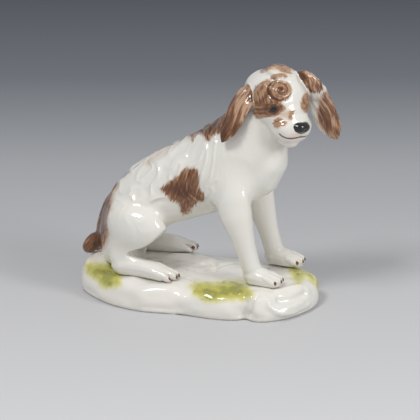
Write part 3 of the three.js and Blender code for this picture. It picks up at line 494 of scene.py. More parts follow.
HOLLOW_SHADE = 3.6
LIP_DEPTH = 0.6


def node(tree, kind, links=(), **settings):
    made = tree.nodes.new("ShaderNode" + kind)
    for key, value in settings.items():
        setattr(made, key, value)
    for socket, value in dict(links).items():
        target = made.inputs[socket]
        if isinstance(value, bpy.types.NodeSocket):
            tree.links.new(value, target)
        else:
            target.default_value = value
    return made


def sums(tree, operation, *values):
    return node(tree, "Math", dict(enumerate(values)), operation=operation).outputs[0]


def span(tree, value, low, high):
    made = node(tree, "MapRange", {"Value": value, "From Min": low, "From Max": high},
                interpolation_type="SMOOTHSTEP")
    return made.outputs["Result"]


def blend(tree, share, first, second):
    return node(tree, "Mix", {0: share, 6: first, 7: second}, data_type="RGBA").outputs[2]


def around(tree, value, size):
    """A noise value of 0 to 1 as a push of half the size either way."""
    return sums(tree, "MULTIPLY", sums(tree, "SUBTRACT", value, 0.5), size)


def clouded(tree, place, porcelain):
    """White paste with cooler clouds in it, and where they are."""
    clouds = node(tree, "TexNoise", {"Vector": place, "Scale": CLOUD_SCALE, "Detail": 2.0})
    cloudy = span(tree, clouds.outputs["Fac"], *CLOUD_EDGE)
    share = sums(tree, "MULTIPLY", cloudy, CLOUD_SHARE)
    return blend(tree, share, porcelain, PORCELAIN_COOL), cloudy


def group_of(name, inputs, outputs):
    tree = bpy.data.node_groups.new(name, "ShaderNodeTree")
    for label, kind, value in inputs:
        socket = tree.interface.new_socket(label, in_out="INPUT", socket_type=kind)
        socket.default_value = value
    for label, kind in outputs:
        tree.interface.new_socket(label, in_out="OUTPUT", socket_type=kind)
    return tree, tree.nodes.new("NodeGroupInput").outputs, tree.nodes.new("NodeGroupOutput")


def painted_fur():
    """Brown enamel brushed on in fine strokes along the fur, over white."""
    tree, given, out = group_of(
        "painted_fur",
        [("Porcelain", "NodeSocketColor", PORCELAIN),
         ("Dark", "NodeSocketColor", BROWN_DARK),
         ("Brown", "NodeSocketColor", BROWN),
         ("Pale", "NodeSocketColor", BROWN_PALE),
         ("Ragged", "NodeSocketFloat", 5.0)],
        [("Color", "NodeSocketColor"), ("Height", "NodeSocketFloat")],
    )

    def painted_on(label):
        return node(tree, "Attribute", attribute_name=label).outputs["Fac"]

    def strokes(scale, detail):
        strands = node(tree, "Attribute", attribute_name="strand").outputs["Vector"]
        stretched = node(tree, "Mapping", {"Vector": strands, "Scale": scale})
        made = node(tree, "TexNoise", {"Vector": stretched.outputs[0], "Scale": 1.0,
                                       "Detail": detail, "Roughness": 0.6})
        return made.outputs["Fac"]

    hairs = strokes(HAIR_SCALE, 3.0)
    tufts = strokes(TUFT_SCALE, 2.0)
    depth = painted_on("coat")
    ragged = sums(tree, "ADD", around(tree, hairs, given["Ragged"]), around(tree, tufts, 2.2))
    reached = sums(tree, "ADD", depth, ragged)
    covered = span(tree, reached, -0.45, 0.75)
    washed = span(tree, sums(tree, "ADD", depth, around(tree, hairs, 2.0)), -1.5, 1.4)
    # The hollow attribute darkens the brown in hollows and pales it on ridges: painted shade
    # and painted light.
    dark = sums(tree, "ADD", painted_on("hollow"), painted_on("shade"))
    dark = sums(tree, "ADD", dark, around(tree, tufts, 1.5))
    dark = sums(tree, "ADD", dark, around(tree, hairs, -2.6))
    dark = sums(tree, "MULTIPLY_ADD", span(tree, depth, 0.0, 5.0), 0.35, dark)
    shade = blend(tree, span(tree, dark, -0.35, 0.30), given["Pale"], given["Brown"])
    shade = blend(tree, span(tree, dark, 0.25, 0.95), shade, given["Dark"])
    place = node(tree, "TexCoord").outputs["Object"]
    white, cloudy = clouded(tree, place, given["Porcelain"])
    white = blend(tree, sums(tree, "MULTIPLY", painted_on("blush"), cloudy), white, BLUSH)
    wash = span(tree, sums(tree, "ADD", painted_on("tan"), around(tree, hairs, 3.0)), -0.6, 2.2)
    white = blend(tree, sums(tree, "MULTIPLY", wash, 0.75), white, TAN)
    color = blend(tree, sums(tree, "MULTIPLY", washed, 0.5), white, given["Pale"])
    color = blend(tree, covered, color, shade)
    color = blend(tree, span(tree, painted_on("line"), -0.18, 0.22), color, LINE)
    color = blend(tree, span(tree, painted_on("ink"), -0.22, 0.18), color, INK)
    tree.links.new(color, out.inputs["Color"])
    tree.links.new(sums(tree, "MULTIPLY", hairs, covered), out.inputs["Height"])
    return tree


painted = painted_fur()


def glaze(tree, color, height, distance):
    """White paste or fired enamel under a clear glossy glaze."""
    bump = node(tree, "Bump", {
        "Height": height, "Strength": BUMP_STRENGTH, "Distance": distance})
    shader = node(tree, "BsdfPrincipled", {
        "Base Color": color,
        "Roughness": PASTE_ROUGHNESS,
        "Specular IOR Level": PASTE_SPECULAR,
        "Coat Weight": GLAZE_COAT,
        "Coat Roughness": GLAZE_COAT_ROUGHNESS,
        "Normal": bump.outputs["Normal"],
    })
    node(tree, "OutputMaterial", {"Surface": shader.outputs[0]})


def new_material(name):
    material = bpy.data.materials.new(name)
    material.use_nodes = True
    material.node_tree.nodes.clear()
    return material, material.node_tree


def fur_material(name, **tones):
    material, tree = new_material(name)
    fur = node(tree, "Group", node_tree=painted)
    for key, value in tones.items():
        fur.inputs[key].default_value = value
    place = node(tree, "TexCoord").outputs["Object"]
    ripple = node(tree, "TexNoise", {"Vector": place, "Scale": GLAZE_WAVES, "Detail": 1.5})
    height = sums(tree, "MULTIPLY_ADD", fur.outputs["Height"], 0.9, ripple.outputs["Fac"])
    glaze(tree, fur.outputs["Color"], height, FUR_RELIEF)
    return material


def islands_joined(labels, faces):
    """Small stray groups of faces go to the part that surrounds them."""
    parent = list(range(len(faces)))

    def root(i):
        while parent[i] != i:
            parent[i] = parent[parent[i]]
            i = parent[i]
        return i

    pairs = []
    ends = np.sort(sides(faces), axis=1)
    which = np.tile(np.arange(len(faces)), 4)
    key = ends[:, 0].astype(np.int64) * (faces.max() + 1) + ends[:, 1]
    order = np.argsort(key, kind="stable")
    key, which = key[order], which[order]
    same = np.flatnonzero(key[:-1] == key[1:])
    for a, b in zip(which[same].tolist(), which[same + 1].tolist()):
        if labels[a] == labels[b]:
            ra, rb = root(a), root(b)
            if ra != rb:
                parent[ra] = rb
        else:
            pairs.append((a, b))
    roots = np.array([root(i) for i in range(len(faces))])
    sizes = np.bincount(roots, minlength=len(faces))
    biggest = {}
    for r in np.unique(roots):
        label = labels[r]
        if label not in biggest or sizes[r] > sizes[biggest[label]]:
            biggest[label] = r
    joined = labels.copy()
    for _ in range(6):
        moved = False
        for a, b in pairs:
            for one, other in ((a, b), (b, a)):
                stray = roots[one] != biggest[labels[one]] and joined[one] == labels[one]
                if stray and roots[other] == biggest[labels[other]]:
                    joined[roots == roots[one]] = joined[other]
                    moved = True
        if not moved:
            break
    return joined


face_reach = np.stack([smooth_reach[name][skin.faces].mean(1) for name in MOULDED])
face_owner = islands_joined(face_reach.argmin(0), skin.faces)


def hollows():
    """Painted shade where the surface lies lower than its surroundings and painted light where
    it stands higher, as a share that darkens paint.
    """
    low = skin.spread(skin.points, 10) - skin.points
    return np.clip((low * skin.normals()).sum(1) * HOLLOW_SHADE, -0.5, 0.8)


def paint_on(mesh, label, values):
    attribute = mesh.attributes.new(label, "FLOAT", "POINT")
    attribute.data.foreach_set("value", values.astype(np.float32))


def lift(name, material):
    """Cuts one part off the figure, closes it where it was luted, and makes it a piece."""
    faces = skin.faces[face_owner == MOULDED.index(name)]
    edges = sides(faces)
    key = np.sort(edges, axis=1) @ (len(skin.points), 1)
    _, first, count = np.unique(key, return_index=True, return_counts=True)
    edges = edges[first[count == 1]]
    used, rim = np.unique(faces), np.unique(edges)
    renumber = np.full(len(skin.points), -1)
    renumber[used] = np.arange(len(used))
    under = renumber.copy()
    under[rim] = len(used) + np.arange(len(rim))
    lip = np.stack([renumber[edges[:, 1]], renumber[edges[:, 0]], under[edges[:, 0]],
                    under[edges[:, 1]]], 1)
    normals = skin.normals()
    places = np.concatenate([skin.points[used], skin.points[rim] - LIP_DEPTH * normals[rim]])
    used = np.concatenate([used, rim])
    mesh = bpy.data.meshes.new(name)
    mesh.from_pydata((places / METRE).tolist(), [], renumber[faces].tolist() + lip.tolist())
    mesh.update()
    piece = put_in_scene(name + "_glazed", mesh)
    take_up(piece)
    bpy.ops.object.mode_set(mode="EDIT")
    bpy.ops.mesh.select_mode(type="EDGE")
    bpy.ops.mesh.select_all(action="DESELECT")
    bpy.ops.mesh.select_non_manifold(extend=False, use_wire=False, use_multi_face=False,
                                     use_non_contiguous=False, use_verts=False)
    bpy.ops.mesh.fill_holes(sides=0)
    bpy.ops.object.mode_set(mode="OBJECT")
    corners = np.zeros(len(mesh.loops), int)
    mesh.loops.foreach_get("vertex_index", corners)
    loops = normals[used][corners]
    for polygon in mesh.polygons:
        polygon.use_smooth = polygon.index < len(faces)
        if polygon.index >= len(faces):
            loops[list(polygon.loop_indices)] = polygon.normal
    for label, values in (("coat", coat), ("tan", tan), ("shade", shade), ("ink", ink),
                          ("line", line), ("blush", blush), ("hollow", hollows())):
        paint_on(mesh, label, values[used])
    attribute = mesh.attributes.new("strand", "FLOAT_VECTOR", "POINT")
    attribute.data.foreach_set("vector", strand[used].astype(np.float32).ravel())
    mesh.normals_split_custom_set(loops.tolist())
    mesh.materials.append(material)
    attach(piece, "root")
    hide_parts(name)


# The figure's white is a darker copy of the base's PORCELAIN: painted shade.
PORCELAIN_SHADED = (0.765, 0.735, 0.675, 1.0)
FACE_PALE = (0.42, 0.245, 0.14, 1.0)
# A paler brown for the ears: partly the enamel's own tone, partly painted sheen.
EAR_PALE_AND_SHEEN = (0.50, 0.31, 0.20, 1.0)
white_fur = fur_material("white_glaze_painted", Porcelain=PORCELAIN_SHADED)
face_fur = fur_material("white_glaze_face", Porcelain=PORCELAIN_SHADED, Pale=FACE_PALE)
ear_fur = fur_material("brown_glaze_ear", Porcelain=PORCELAIN_SHADED, Pale=EAR_PALE_AND_SHEEN)
lift("trunk", white_fur)

# --------------------------------
# Head: upper neck, skull, muzzle and curls, pressed in two halves and modelled over: eyelids,
# nostrils and mouth are cut in the paste, and the face is painted with a fine brush.
# --------------------------------
EYE = (
    (30.2, 90.1), (30.9, 92.1), (32.0, 93.4), (33.8, 93.6), (35.1, 92.4), (35.6, 91.4),
    (34.7, 90.1), (33.3, 89.1), (32.3, 89.4), (31.3, 89.6),
)
NOSE = (
    (42.5, 82.6), (43.0, 84.0), (44.3, 84.9), (46.2, 85.2), (48.2, 85.2), (49.7, 84.5),
    (50.4, 83.1), (50.2, 81.3), (49.2, 79.8), (47.5, 79.1), (45.3, 79.5), (43.3, 80.6),
)
NOSTRILS = ((44.3, 81.3), (48.3, 81.1))
MOUTH = (
    (35.6, 79.3), (36.9, 78.2), (38.9, 77.4), (41.3, 77.2), (43.8, 77.5), (46.0, 77.9),
    (46.7, 78.6), (46.8, 79.8),
)
LID_RISE, LID_CUT, EYEBALL_RISE = 0.20, 0.20, 0.30
NOSE_RISE, NOSE_CUT, NOSTRIL_CUT, MOUTH_CUT = 0.25, 0.18, 0.45, 0.38
BRUSH_CARE = 1.7
CHIN, CHIN_SIZE, CHIN_DROP = (42.0, 74.0), (6.5, 3.5), 0.6
CURL, CURL_SIZE = (36.3, 100.9), (5.7, 5.0)
CURL_TURNS = 1.8
CURL_RISE, CURL_CUT, SMALL_CURL_RISE, PARTING_CUT = 0.5, 0.3, 0.3, 0.35
LOCK_PARTING = ((30.2, 105.4), (28.7, 102.2), (26.8, 98.7), (25.9, 96.6))
CHEEK_PATCH = (
    (23.3, 101.2), (23.8, 102.7), (25.7, 104.0), (27.6, 105.0), (29.6, 106.2), (30.8, 105.9),
    (31.5, 105.1), (33.0, 105.5), (35.0, 105.6), (36.9, 105.5), (38.9, 104.8), (40.7, 103.4),
    (41.6, 101.2), (41.4, 98.7), (40.4, 96.6), (38.9, 95.6), (36.9, 95.3), (36.9, 94.3),
    (38.4, 92.9), (38.9, 91.4), (36.9, 90.1), (35.0, 88.7), (33.0, 88.0), (29.6, 87.5),
    (26.6, 86.8), (24.2, 87.3), (23.0, 89.4), (22.7, 91.4), (23.2, 93.8), (23.0, 96.3),
    (22.9, 98.7),
)
MUZZLE_SPOT = (
    (32.5, 84.5), (33.5, 86.3), (35.0, 87.5), (36.4, 87.0), (37.9, 86.0), (39.4, 84.5),
    (38.4, 83.3), (36.4, 83.1), (35.0, 82.1), (33.3, 82.8),
)
NOSE_STROKE = (
    (40.1, 87.0), (40.5, 89.4), (41.1, 91.2), (42.8, 90.9), (42.3, 88.9), (41.8, 86.7),
    (40.9, 86.2),
)
CHEEK_WASH = (
    (35.0, 90.4), (38.4, 91.4), (41.3, 91.9), (43.3, 90.9), (42.8, 88.0), (41.8, 85.8),
    (39.9, 85.5), (36.9, 87.0), (35.0, 87.5), (32.5, 86.0), (32.5, 88.0),
)
CROWN_BAND = (
    (27.1, 110.3), (28.8, 112.5), (29.5, 118.0), (36.0, 120.0), (42.0, 118.0), (42.1, 112.5),
    (40.9, 111.2), (38.4, 112.3), (36.0, 112.7), (33.0, 112.7), (30.6, 111.8), (29.1, 110.9),
)
CROWN_WASH = (
    (27.1, 110.0), (28.6, 113.0), (30.0, 119.0), (41.0, 119.0), (42.8, 112.5), (44.8, 110.5),
    (42.3, 110.0), (38.4, 110.0), (34.5, 109.8), (30.6, 110.0),
)
SMALL_CURL = (
    (31.3, 106.1), (31.8, 107.6), (33.0, 108.4), (36.0, 109.0), (38.9, 108.5), (39.6, 107.3),
    (37.9, 106.6), (35.5, 106.8), (33.0, 105.9),
)
FAR_EYE_PATCH = (
    (48.0, 99.2), (49.7, 100.0), (56.0, 99.7), (56.0, 93.4), (54.0, 89.9), (49.2, 89.7),
    (47.7, 90.1), (46.4, 91.4), (45.9, 93.8), (46.4, 96.3), (47.2, 97.8),
)
CAP_PLACE, CAP_SIZE = (-2.0, 0.0, 19.0), (8.5, 6.5, 5.0)
LEVEL_BELOW, LEVEL_ABOVE = 94.0, 106.0

local = (skin.points - HEAD_PLACE) @ head_axes
across_head = np.array(HEAD_PLACE) + (local * (1.0, -1.0, 1.0)) @ head_axes.T
flat_far = seen(across_head)
flat_head = np.where(front[:, None], flat, flat_far)
head_own = inside("head", 0.3, 1.6)
mine = belongs("head")


def hump(gap, width):
    return np.exp(-((gap / width) ** 2))


def curl_shape(places):
    """Distance from the curl's middle, as a share of its size, and the coil it lies on."""
    offset = (places - CURL) / CURL_SIZE
    ring = np.hypot(*offset.T) + 0.10 * grain(skin.points, (3.5, 3.5, 3.5), 6.6)
    turns = ring * CURL_TURNS - np.arctan2(offset[:, 1], offset[:, 0]) / (2 * math.pi)
    return offset, ring, np.abs(2.0 * (turns - np.floor(turns)) - 1.0)


face_side = np.where(local[:, 1:2] < 0.0, flat, flat_far)
eye = patch(face_side, EYE)
height = LID_RISE * hump(eye + 0.55, 0.5) - LID_CUT * hump(eye - 0.05, 0.25)
height += EYEBALL_RISE * ease(0.1, 1.7, eye)
mouth_gap, _ = to_line(face_side, MOUTH)
height -= MOUTH_CUT * hump(mouth_gap, 0.42)
nose = patch(face_side, NOSE)
height += NOSE_RISE * ease(0.0, 0.9, nose) - NOSE_CUT * hump(nose, 0.3)
for nostril in NOSTRILS:
    height -= NOSTRIL_CUT * hump(np.hypot(*(face_side - nostril).T), 0.6)
offset, ring, coil = curl_shape(flat_head)
height += (1.0 - ease(0.84, 1.08, ring)) * (CURL_RISE * (1.0 - coil**2) - 0.1)
height -= CURL_CUT * hump(ring - 1.06, 0.10)
parting, _ = to_line(flat_head, LOCK_PARTING)
height -= PARTING_CUT * hump(parting, 0.5)
height += SMALL_CURL_RISE * ease(-0.2, 1.0, patch(flat_head, SMALL_CURL))
skin.raise_by(height * head_own)
from_chin = np.hypot(*((flat_head - CHIN) / CHIN_SIZE).T)
drop = CHIN_DROP * hump(from_chin, 1.0) * head_own * (nose < 0.0)
skin.points -= up_way * drop[:, None]

cheek = patch(flat_head, CHEEK_PATCH)
head_coat = BRUSH_CARE * cheek
for outline in (MUZZLE_SPOT, NOSE_STROKE, SMALL_CURL):
    head_coat = np.maximum(head_coat, BRUSH_CARE * patch(flat_head, outline) + 0.2)
head_coat = np.maximum(head_coat, BRUSH_CARE * patch(flat_head, CROWN_BAND) + 1.5)
far_cheek = BRUSH_CARE * patch(flat, FAR_EYE_PATCH)
head_coat = np.where(front, np.maximum(head_coat, far_cheek), head_coat)
cap = 1.0 - np.linalg.norm((local - CAP_PLACE) / CAP_SIZE, axis=1)
head_coat = np.maximum(head_coat, cap * 5.0)
coat = np.where(mine, np.maximum(head_coat, nape), coat)
washes = np.maximum(patch(flat_head, CHEEK_WASH), patch(flat_head, CROWN_WASH))
tan = np.where(mine, np.maximum(tan, washes), tan)
in_curl = ring < 1.05
polar = np.stack([ring * 5.0, np.arctan2(offset[:, 1], offset[:, 0]) * 5.0, local[:, 1]], 1)
level = np.stack([flat_head[:, 1], flat_head[:, 0], local[:, 1]], 1)
upright = np.stack([flat_head[:, 0] + 0.25 * flat_head[:, 1], flat_head[:, 1], local[:, 1]], 1)
lies_level = (flat_head[:, 1] < LEVEL_BELOW) | (flat_head[:, 1] > LEVEL_ABOVE)
combed = np.where(in_curl[:, None], polar, np.where(lies_level[:, None], level, upright))
strand = np.where(mine[:, None], combed, strand)
head_shade = 1.1 * hump(ring, 0.3) + 0.7 * hump(ring - 1.02, 0.14) - 0.3
head_shade += 1.1 * ease(-0.5, 1.5, patch(flat_head, CROWN_BAND))
head_shade += 0.55 * hump(eye + 0.5, 1.3) - 1.1 * hump(parting, 0.5)
head_shade += 0.25 * ease(0.5, 2.5, cheek) * (flat_head[:, 0] < 30.0)
shade = np.where(mine, head_shade, shade)
for gap, width in ((parting, 0.9), (eye + 2.0, 1.6), (mouth_gap - 1.5, 2.2)):
    blush = np.where(mine, np.maximum(blush, 0.7 * hump(gap, width)), blush)
line = np.where(mine, np.maximum(eye + 0.1, 0.32 - mouth_gap), line)
ink = np.where(mine, np.maximum(nose, (eye - 0.75) * 1.2), ink)
lift("head", face_fur)

# --------------------------------
# Ears: long hanging leaves with wavy locks, pressed flat and luted to the skull. The right
# one is brushed brown all over, the left one has a white patch next to the face.
# --------------------------------
EAR_LOCK = (
    (43.5, 110.8), (43.0, 113.0), (48.2, 113.5), (51.1, 111.0), (54.1, 108.0), (56.8, 105.0),
    (57.3, 101.2), (55.3, 99.8), (52.9, 99.3), (51.1, 99.7), (49.2, 101.7), (47.2, 103.6),
    (45.3, 106.1), (44.3, 108.5),
)
LEAF_BROWN = (
    (55.6, 95.3), (56.5, 99.0), (59.0, 101.5), (62.0, 98.0), (64.5, 93.0), (67.5, 88.5),
    (70.0, 83.6), (70.0, 76.2), (66.0, 72.0), (60.9, 76.0), (58.5, 80.3), (56.3, 82.6),
    (54.6, 85.5), (54.6, 89.4), (55.0, 92.4),
)
LEAF_WASH = (
    (53.0, 97.7), (55.1, 98.7), (58.5, 100.2), (68.3, 91.4), (68.3, 74.2), (60.9, 76.7),
    (55.1, 82.1), (52.4, 86.5), (52.9, 93.8),
)
LOCK_EDGES = (
    ((49.3, 102.2), (51.2, 100.0), (53.0, 99.4), (55.6, 100.0)),
    ((44.3, 110.6), (45.8, 108.6), (47.6, 107.0)),
)
EAR_COAT = 6.0
EAR_LOCK_SIZE, EAR_LOCK_EDGE, EAR_LOCK_RISE = (3.6, 17.0, 30.0), 0.4, 0.42
FINE_LOCK_SIZE, FINE_LOCK_RISE = (1.5, 9.0, 20.0), 0.2
TONE_SIZE = (3.0, 8.0, 20.0)
for name in ("ear_right", "ear_left"):
    mine = belongs(name)
    leaf = skin.points[mine]
    centre = leaf.mean(0)
    axes = np.linalg.eigh(np.cov((leaf - centre).T))[1][:, ::-1]
    if axes[2, 0] > 0:
        axes[:, 0] = -axes[:, 0]
    spot = (skin.points - centre) @ axes
    down = (spot[:, 0] - spot[mine, 0].min()) / np.ptp(spot[mine, 0])
    flow = np.stack([spot[:, 1] + 0.7 * np.sin(spot[:, 0] / 3.4), spot[:, 0], spot[:, 2]], 1)
    crest = crests(grain(flow, EAR_LOCK_SIZE, 5.7), EAR_LOCK_EDGE)
    fine_locks = FINE_LOCK_RISE * grain(flow, FINE_LOCK_SIZE, 9.1)
    skin.raise_by((EAR_LOCK_RISE * (crest - 0.45) + fine_locks) * inside(name))
    strand = np.where(mine[:, None], flow, strand)
    # Darker where the leaf turns away from the camera: painted shade at its rims.
    rim = 1.0 - ease(0.0, 0.5, facing)
    patchy = grain(flow, TONE_SIZE, 15.0)
    ear_coat = EAR_COAT
    # Darker towards the tip and in patches; paler towards the root, partly painted sheen;
    # painted shade at the rims.
    ear_shade = 0.85 * ease(0.3, 0.9, down) - 0.38 + 0.5 * rim + 0.9 * patchy
    if name == "ear_left":
        ear_coat = np.maximum(patch(flat, EAR_LOCK), patch(flat, LEAF_BROWN))
        ear_coat = np.where(front, ear_coat, EAR_COAT)
        tan = np.where(mine & front, patch(flat, LEAF_WASH) * 0.7, tan)
        edges = np.minimum(*(to_line(flat, stops)[0] for stops in LOCK_EDGES))
        # Dark along the lock edges, which is paint, with painted shade at the rims.
        painted_shade = 0.9 * hump(edges, 0.8) + 0.8 * rim + 0.9 * patchy
        ear_shade = np.where(front, painted_shade, 0.1)
    coat = np.where(mine, ear_coat, coat)
    shade = np.where(mine, ear_shade, shade)
    lift(name, ear_fur)

# --------------------------------
# Forelegs: each is a leg with its paw, pressed in a mould of its own and luted to the breast.
# White glaze, with dark claws painted on at the tips of the toes.
# --------------------------------
CLAW_RADIUS = 1.1
WHITE_BELOW = 40.0
FORE_CLAWS = ((41.0, 11.4, 16.9), (43.4, 14.6, 16.9), (43.4, 17.9, 16.9), (41.0, 21.0, 16.9))


def paint_claws(name, claws, forward):
    """Dark claws at the tips of the toes, and a faint blush between them."""
    global line, blush
    mine = belongs(name)
    hand = -1.0 if name.endswith("right") else 1.0
    for ahead, out, up in claws:
        tip = np.array([ahead + forward, MIDLINE + hand * out, up])
        gap = np.linalg.norm(skin.points - tip, axis=1)
        tip = skin.points[np.where(mine, gap, 99.0).argmin()]
        gap = np.linalg.norm(skin.points - tip, axis=1)
        line = np.where(mine, np.maximum(line, CLAW_RADIUS - gap), line)
        blush = np.where(mine, np.maximum(blush, 0.8 * hump(gap, 2.6)), blush)


for name, forward in (("foreleg_right", 0.0), ("foreleg_left", 2.0)):
    mine = belongs(name)
    coat = np.where(mine & (z < WHITE_BELOW), OUTSIDE, coat)
    paint_claws(name, FORE_CLAWS, forward)
    lift(name, white_fur)

# --------------------------------
# Haunches and hind feet: the folded thigh and shank are pressed in one mould and luted to the
# rump, and the long flat foot in another. White glaze, with claws painted on the feet.
# --------------------------------
HIND_CLAWS = ((-9.6, 18.6, 16.8), (-7.5, 21.5, 16.8), (-7.9, 24.4, 16.8), (-10.6, 27.2, 16.8))
for name in ("haunch_right", "haunch_left"):
    lift(name, white_fur)
for name, forward in (("hind_foot_right", 0.0), ("hind_foot_left", -3.0)):
    paint_claws(name, HIND_CLAWS, forward)
    lift(name, white_fur)

# --------------------------------
# Tail: a tapering roll of paste, laid down the rump, curled up at its end and luted on. Tufts
# are modelled in it, and it is brushed brown all over.
# --------------------------------
TUFT_SIZE, TUFT_RISE = (2.2, 9.0, 4.0), 0.6
TAIL_COAT = 5.0
DARK_END = (-60.0, -50.0)
mine = belongs("tail")
skin.raise_by(TUFT_RISE * grain(strand, TUFT_SIZE, 4.4) * inside("tail"))
coat = np.where(mine, TAIL_COAT, coat)
shade = np.where(mine, 0.35 * (1.0 - ease(*DARK_END, x)), shade)
lift("tail", white_fur)

# --------------------------------
# Base: an oval rocky mound, pressed in one mould, its ground modelled with low ledges and
# its wall with folds. White glaze with moss dabbed on in yellow green.
# --------------------------------
ROCK_GRAIN, ROCK_ROUNDS = 0.6, 30
RIM_HEIGHTS = (0.8, 3.0)
LUMP_SIZE, LUMP_RISE, LUMP_SINK = (15.0, 11.0, 8.0), 0.75, 0.35
KNOB_SIZE, KNOB_RISE = (6.5, 6.0, 5.0), 0.4
MOSS = (0.49, 0.465, 0.105, 1.0)
MOSS_DEEP = (0.27, 0.265, 0.05, 1.0)
MOSS_PALE = (0.70, 0.66, 0.34, 1.0)
MOSS_RELIEF = 0.0004
REAR_HUMP, REAR_WIDTH, REAR_RISE = (-57.0, 5.0), (7.0, 11.0), 4.6
FOLD_DEPTH = 1.6
FOLDS = (
    (((30.4, -29.0, 1.1), (31.0, -31.0, 6.0), (31.3, -30.1, 9.6), (33.0, -29.1, 12.5),
      (35.0, -25.4, 13.6)), 0.6, 1.2),
    (((41.8, -24.2, 11.7), (45.5, -22.9, 9.6), (49.3, -18.5, 9.0), (52.4, -11.2, 9.5),
      (54.0, -6.2, 10.6)), 0.8, 2.0),
    (((35.9, -25.1, 13.5), (39.1, -27.2, 11.4), (40.5, -28.6, 8.4), (42.8, -27.6, 5.7),
      (45.8, -25.8, 3.8), (48.7, -21.5, 3.2), (52.4, -14.8, 3.4), (55.8, -5.4, 3.7)),
     -0.5, 1.5),
    (((39.9, -21.0, 13.6), (43.8, -15.3, 13.6), (48.4, -9.9, 13.3), (51.3, -5.9, 12.8)),
     -0.5, 1.5),
    (((-9.6, -3.0, 15.7), (-6.6, -4.9, 15.8), (-2.6, -6.2, 15.5), (1.4, -5.8, 15.3),
      (3.7, -3.5, 15.3), (4.9, 3.2, 15.2), (4.3, 8.9, 14.8)), 0.9, 1.3),
    (((-4.1, 4.4, 15.0), (-2.6, 8.1, 15.0), (0.5, 9.4, 14.8), (4.3, 5.4, 15.0)), 0.8, 1.2),
    (((0.3, 10.2, 15.1), (5.2, 7.4, 14.9), (8.4, 10.4, 14.7), (10.4, 15.0, 14.4)), 0.8, 1.2),
    (((-6.4, -14.2, 14.7), (0.6, -21.1, 15.1), (3.5, -24.0, 14.8), (7.7, -26.0, 14.3),
      (12.1, -27.3, 13.6), (16.9, -26.2, 13.7), (20.0, -22.9, 13.9), (23.2, -20.5, 14.2)),
     0.5, 1.2),
)
MOSS_PATCHES = (
    ((-60.1, 15.9), (-56.7, 16.9), (-53.7, 15.9), (-49.8, 15.9), (-45.9, 15.9), (-42.4, 14.0),
     (-41.5, 10.1), (-42.0, 5.6), (-44.9, 4.2), (-48.8, 3.9), (-51.8, 5.2), (-54.2, 8.1),
     (-57.1, 9.6), (-59.1, 12.0)),
    ((-7.7, 5.6), (-4.2, 7.1), (0.2, 7.4), (4.1, 7.1), (9.0, 7.6), (13.4, 7.9), (16.8, 7.6),
     (19.8, 6.1), (21.7, 3.7), (23.2, 1.2), (22.2, -0.7), (19.8, -0.2), (17.8, -2.2),
     (14.9, -1.9), (11.0, -1.7), (7.5, -2.4), (4.1, -2.9), (1.2, -2.7), (-2.3, -1.5),
     (-5.7, 0.7), (-7.2, 3.2)),
    ((40.9, 15.9), (43.8, 16.4), (47.7, 15.2), (50.7, 14.2), (52.6, 12.0), (54.1, 8.6),
     (53.1, 6.1), (50.7, 7.6), (48.7, 9.6), (47.2, 7.6), (45.3, 6.1), (43.3, 7.1),
     (41.8, 10.1), (40.6, 13.0)),
)
MOSS_SPOTS = (
    ((-34.0, 27.0, 11.5), (9.0, 6.0, 5.0)),
    ((22.0, 27.0, 11.5), (10.0, 5.5, 5.0)),
    ((55.0, 10.0, 8.0), (4.0, 7.0, 4.0)),
)
mound = press("base")
finish_modifier(mound, "REMESH", mode="VOXEL", voxel_size=ROCK_GRAIN / METRE)
rock = Skin(mound.data)
bpy.data.objects.remove(mound)
upper = ease(*RIM_HEIGHTS, rock.points[:, 2])
rock.points += (rock.fettled(ROCK_ROUNDS) - rock.points) * upper[:, None]
from_hump = np.hypot(*((rock.points[:, :2] - REAR_HUMP) / REAR_WIDTH).T)
rock.points[:, 2] += REAR_RISE * hump(from_hump, 1.0) * ease(5.0, 12.0, rock.points[:, 2])
height = LUMP_RISE * grain(rock.points, LUMP_SIZE, 2.2) - LUMP_SINK
height += KNOB_RISE * grain(rock.points, KNOB_SIZE, 8.2)
for stops, deep, width in FOLDS:
    gap, along = to_line(rock.points, stops)
    fold = FOLD_DEPTH * deep * hump(gap, width)
    height -= fold * ease(0.0, 0.12, along) * (1.0 - ease(0.88, 1.0, along))
rock.raise_by(upper * height)
rock.points[:, 2] = np.maximum(rock.points[:, 2], 0.0)
rock_flat = seen(rock.points)
rock_front = rock.normals() @ toward_way > 0.0
moss = np.full(len(rock.points), OUTSIDE)
for outline in MOSS_PATCHES:
    moss = np.maximum(moss, np.where(rock_front, patch(rock_flat, outline), OUTSIDE))
for place, radii in MOSS_SPOTS:
    away = np.linalg.norm((rock.points - np.array(place)) / np.array(radii), axis=1)
    moss = np.maximum(moss, (1.0 - away) * radii[1])


def moss_material():
    material, tree = new_material("mound_glaze_mossed")
    place = node(tree, "TexCoord").outputs["Object"]

    def cloud(size, detail):
        made = node(tree, "TexNoise", {"Vector": place, "Scale": size, "Detail": detail})
        return made.outputs["Fac"]

    depth = node(tree, "Attribute", attribute_name="moss").outputs["Fac"]
    edge = cloud(330.0, 3.0)
    dabs = cloud(170.0, 2.0)
    wavy = sums(tree, "ADD", depth, around(tree, edge, 3.0))
    pale = span(tree, wavy, -2.2, 0.9)
    full = span(tree, wavy, -0.6, 2.4)
    deep = span(tree, sums(tree, "ADD", wavy, around(tree, dabs, 16.0)), 1.6, 5.0)
    white, _ = clouded(tree, place, PORCELAIN)
    color = blend(tree, pale, white, MOSS_PALE)
    color = blend(tree, full, color, MOSS)
    color = blend(tree, sums(tree, "MULTIPLY", deep, 0.8), color, MOSS_DEEP)
    glaze(tree, color, cloud(160.0, 1.5), MOSS_RELIEF)
    return material


mesh = bpy.data.meshes.new("base")
mesh.from_pydata((rock.points / METRE).tolist(), [], rock.faces.tolist())
mesh.update()
mesh.shade_smooth()
paint_on(mesh, "moss", moss)
mesh.materials.append(moss_material())
piece = put_in_scene("base_glazed", mesh)
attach(piece, "root")
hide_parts("base")
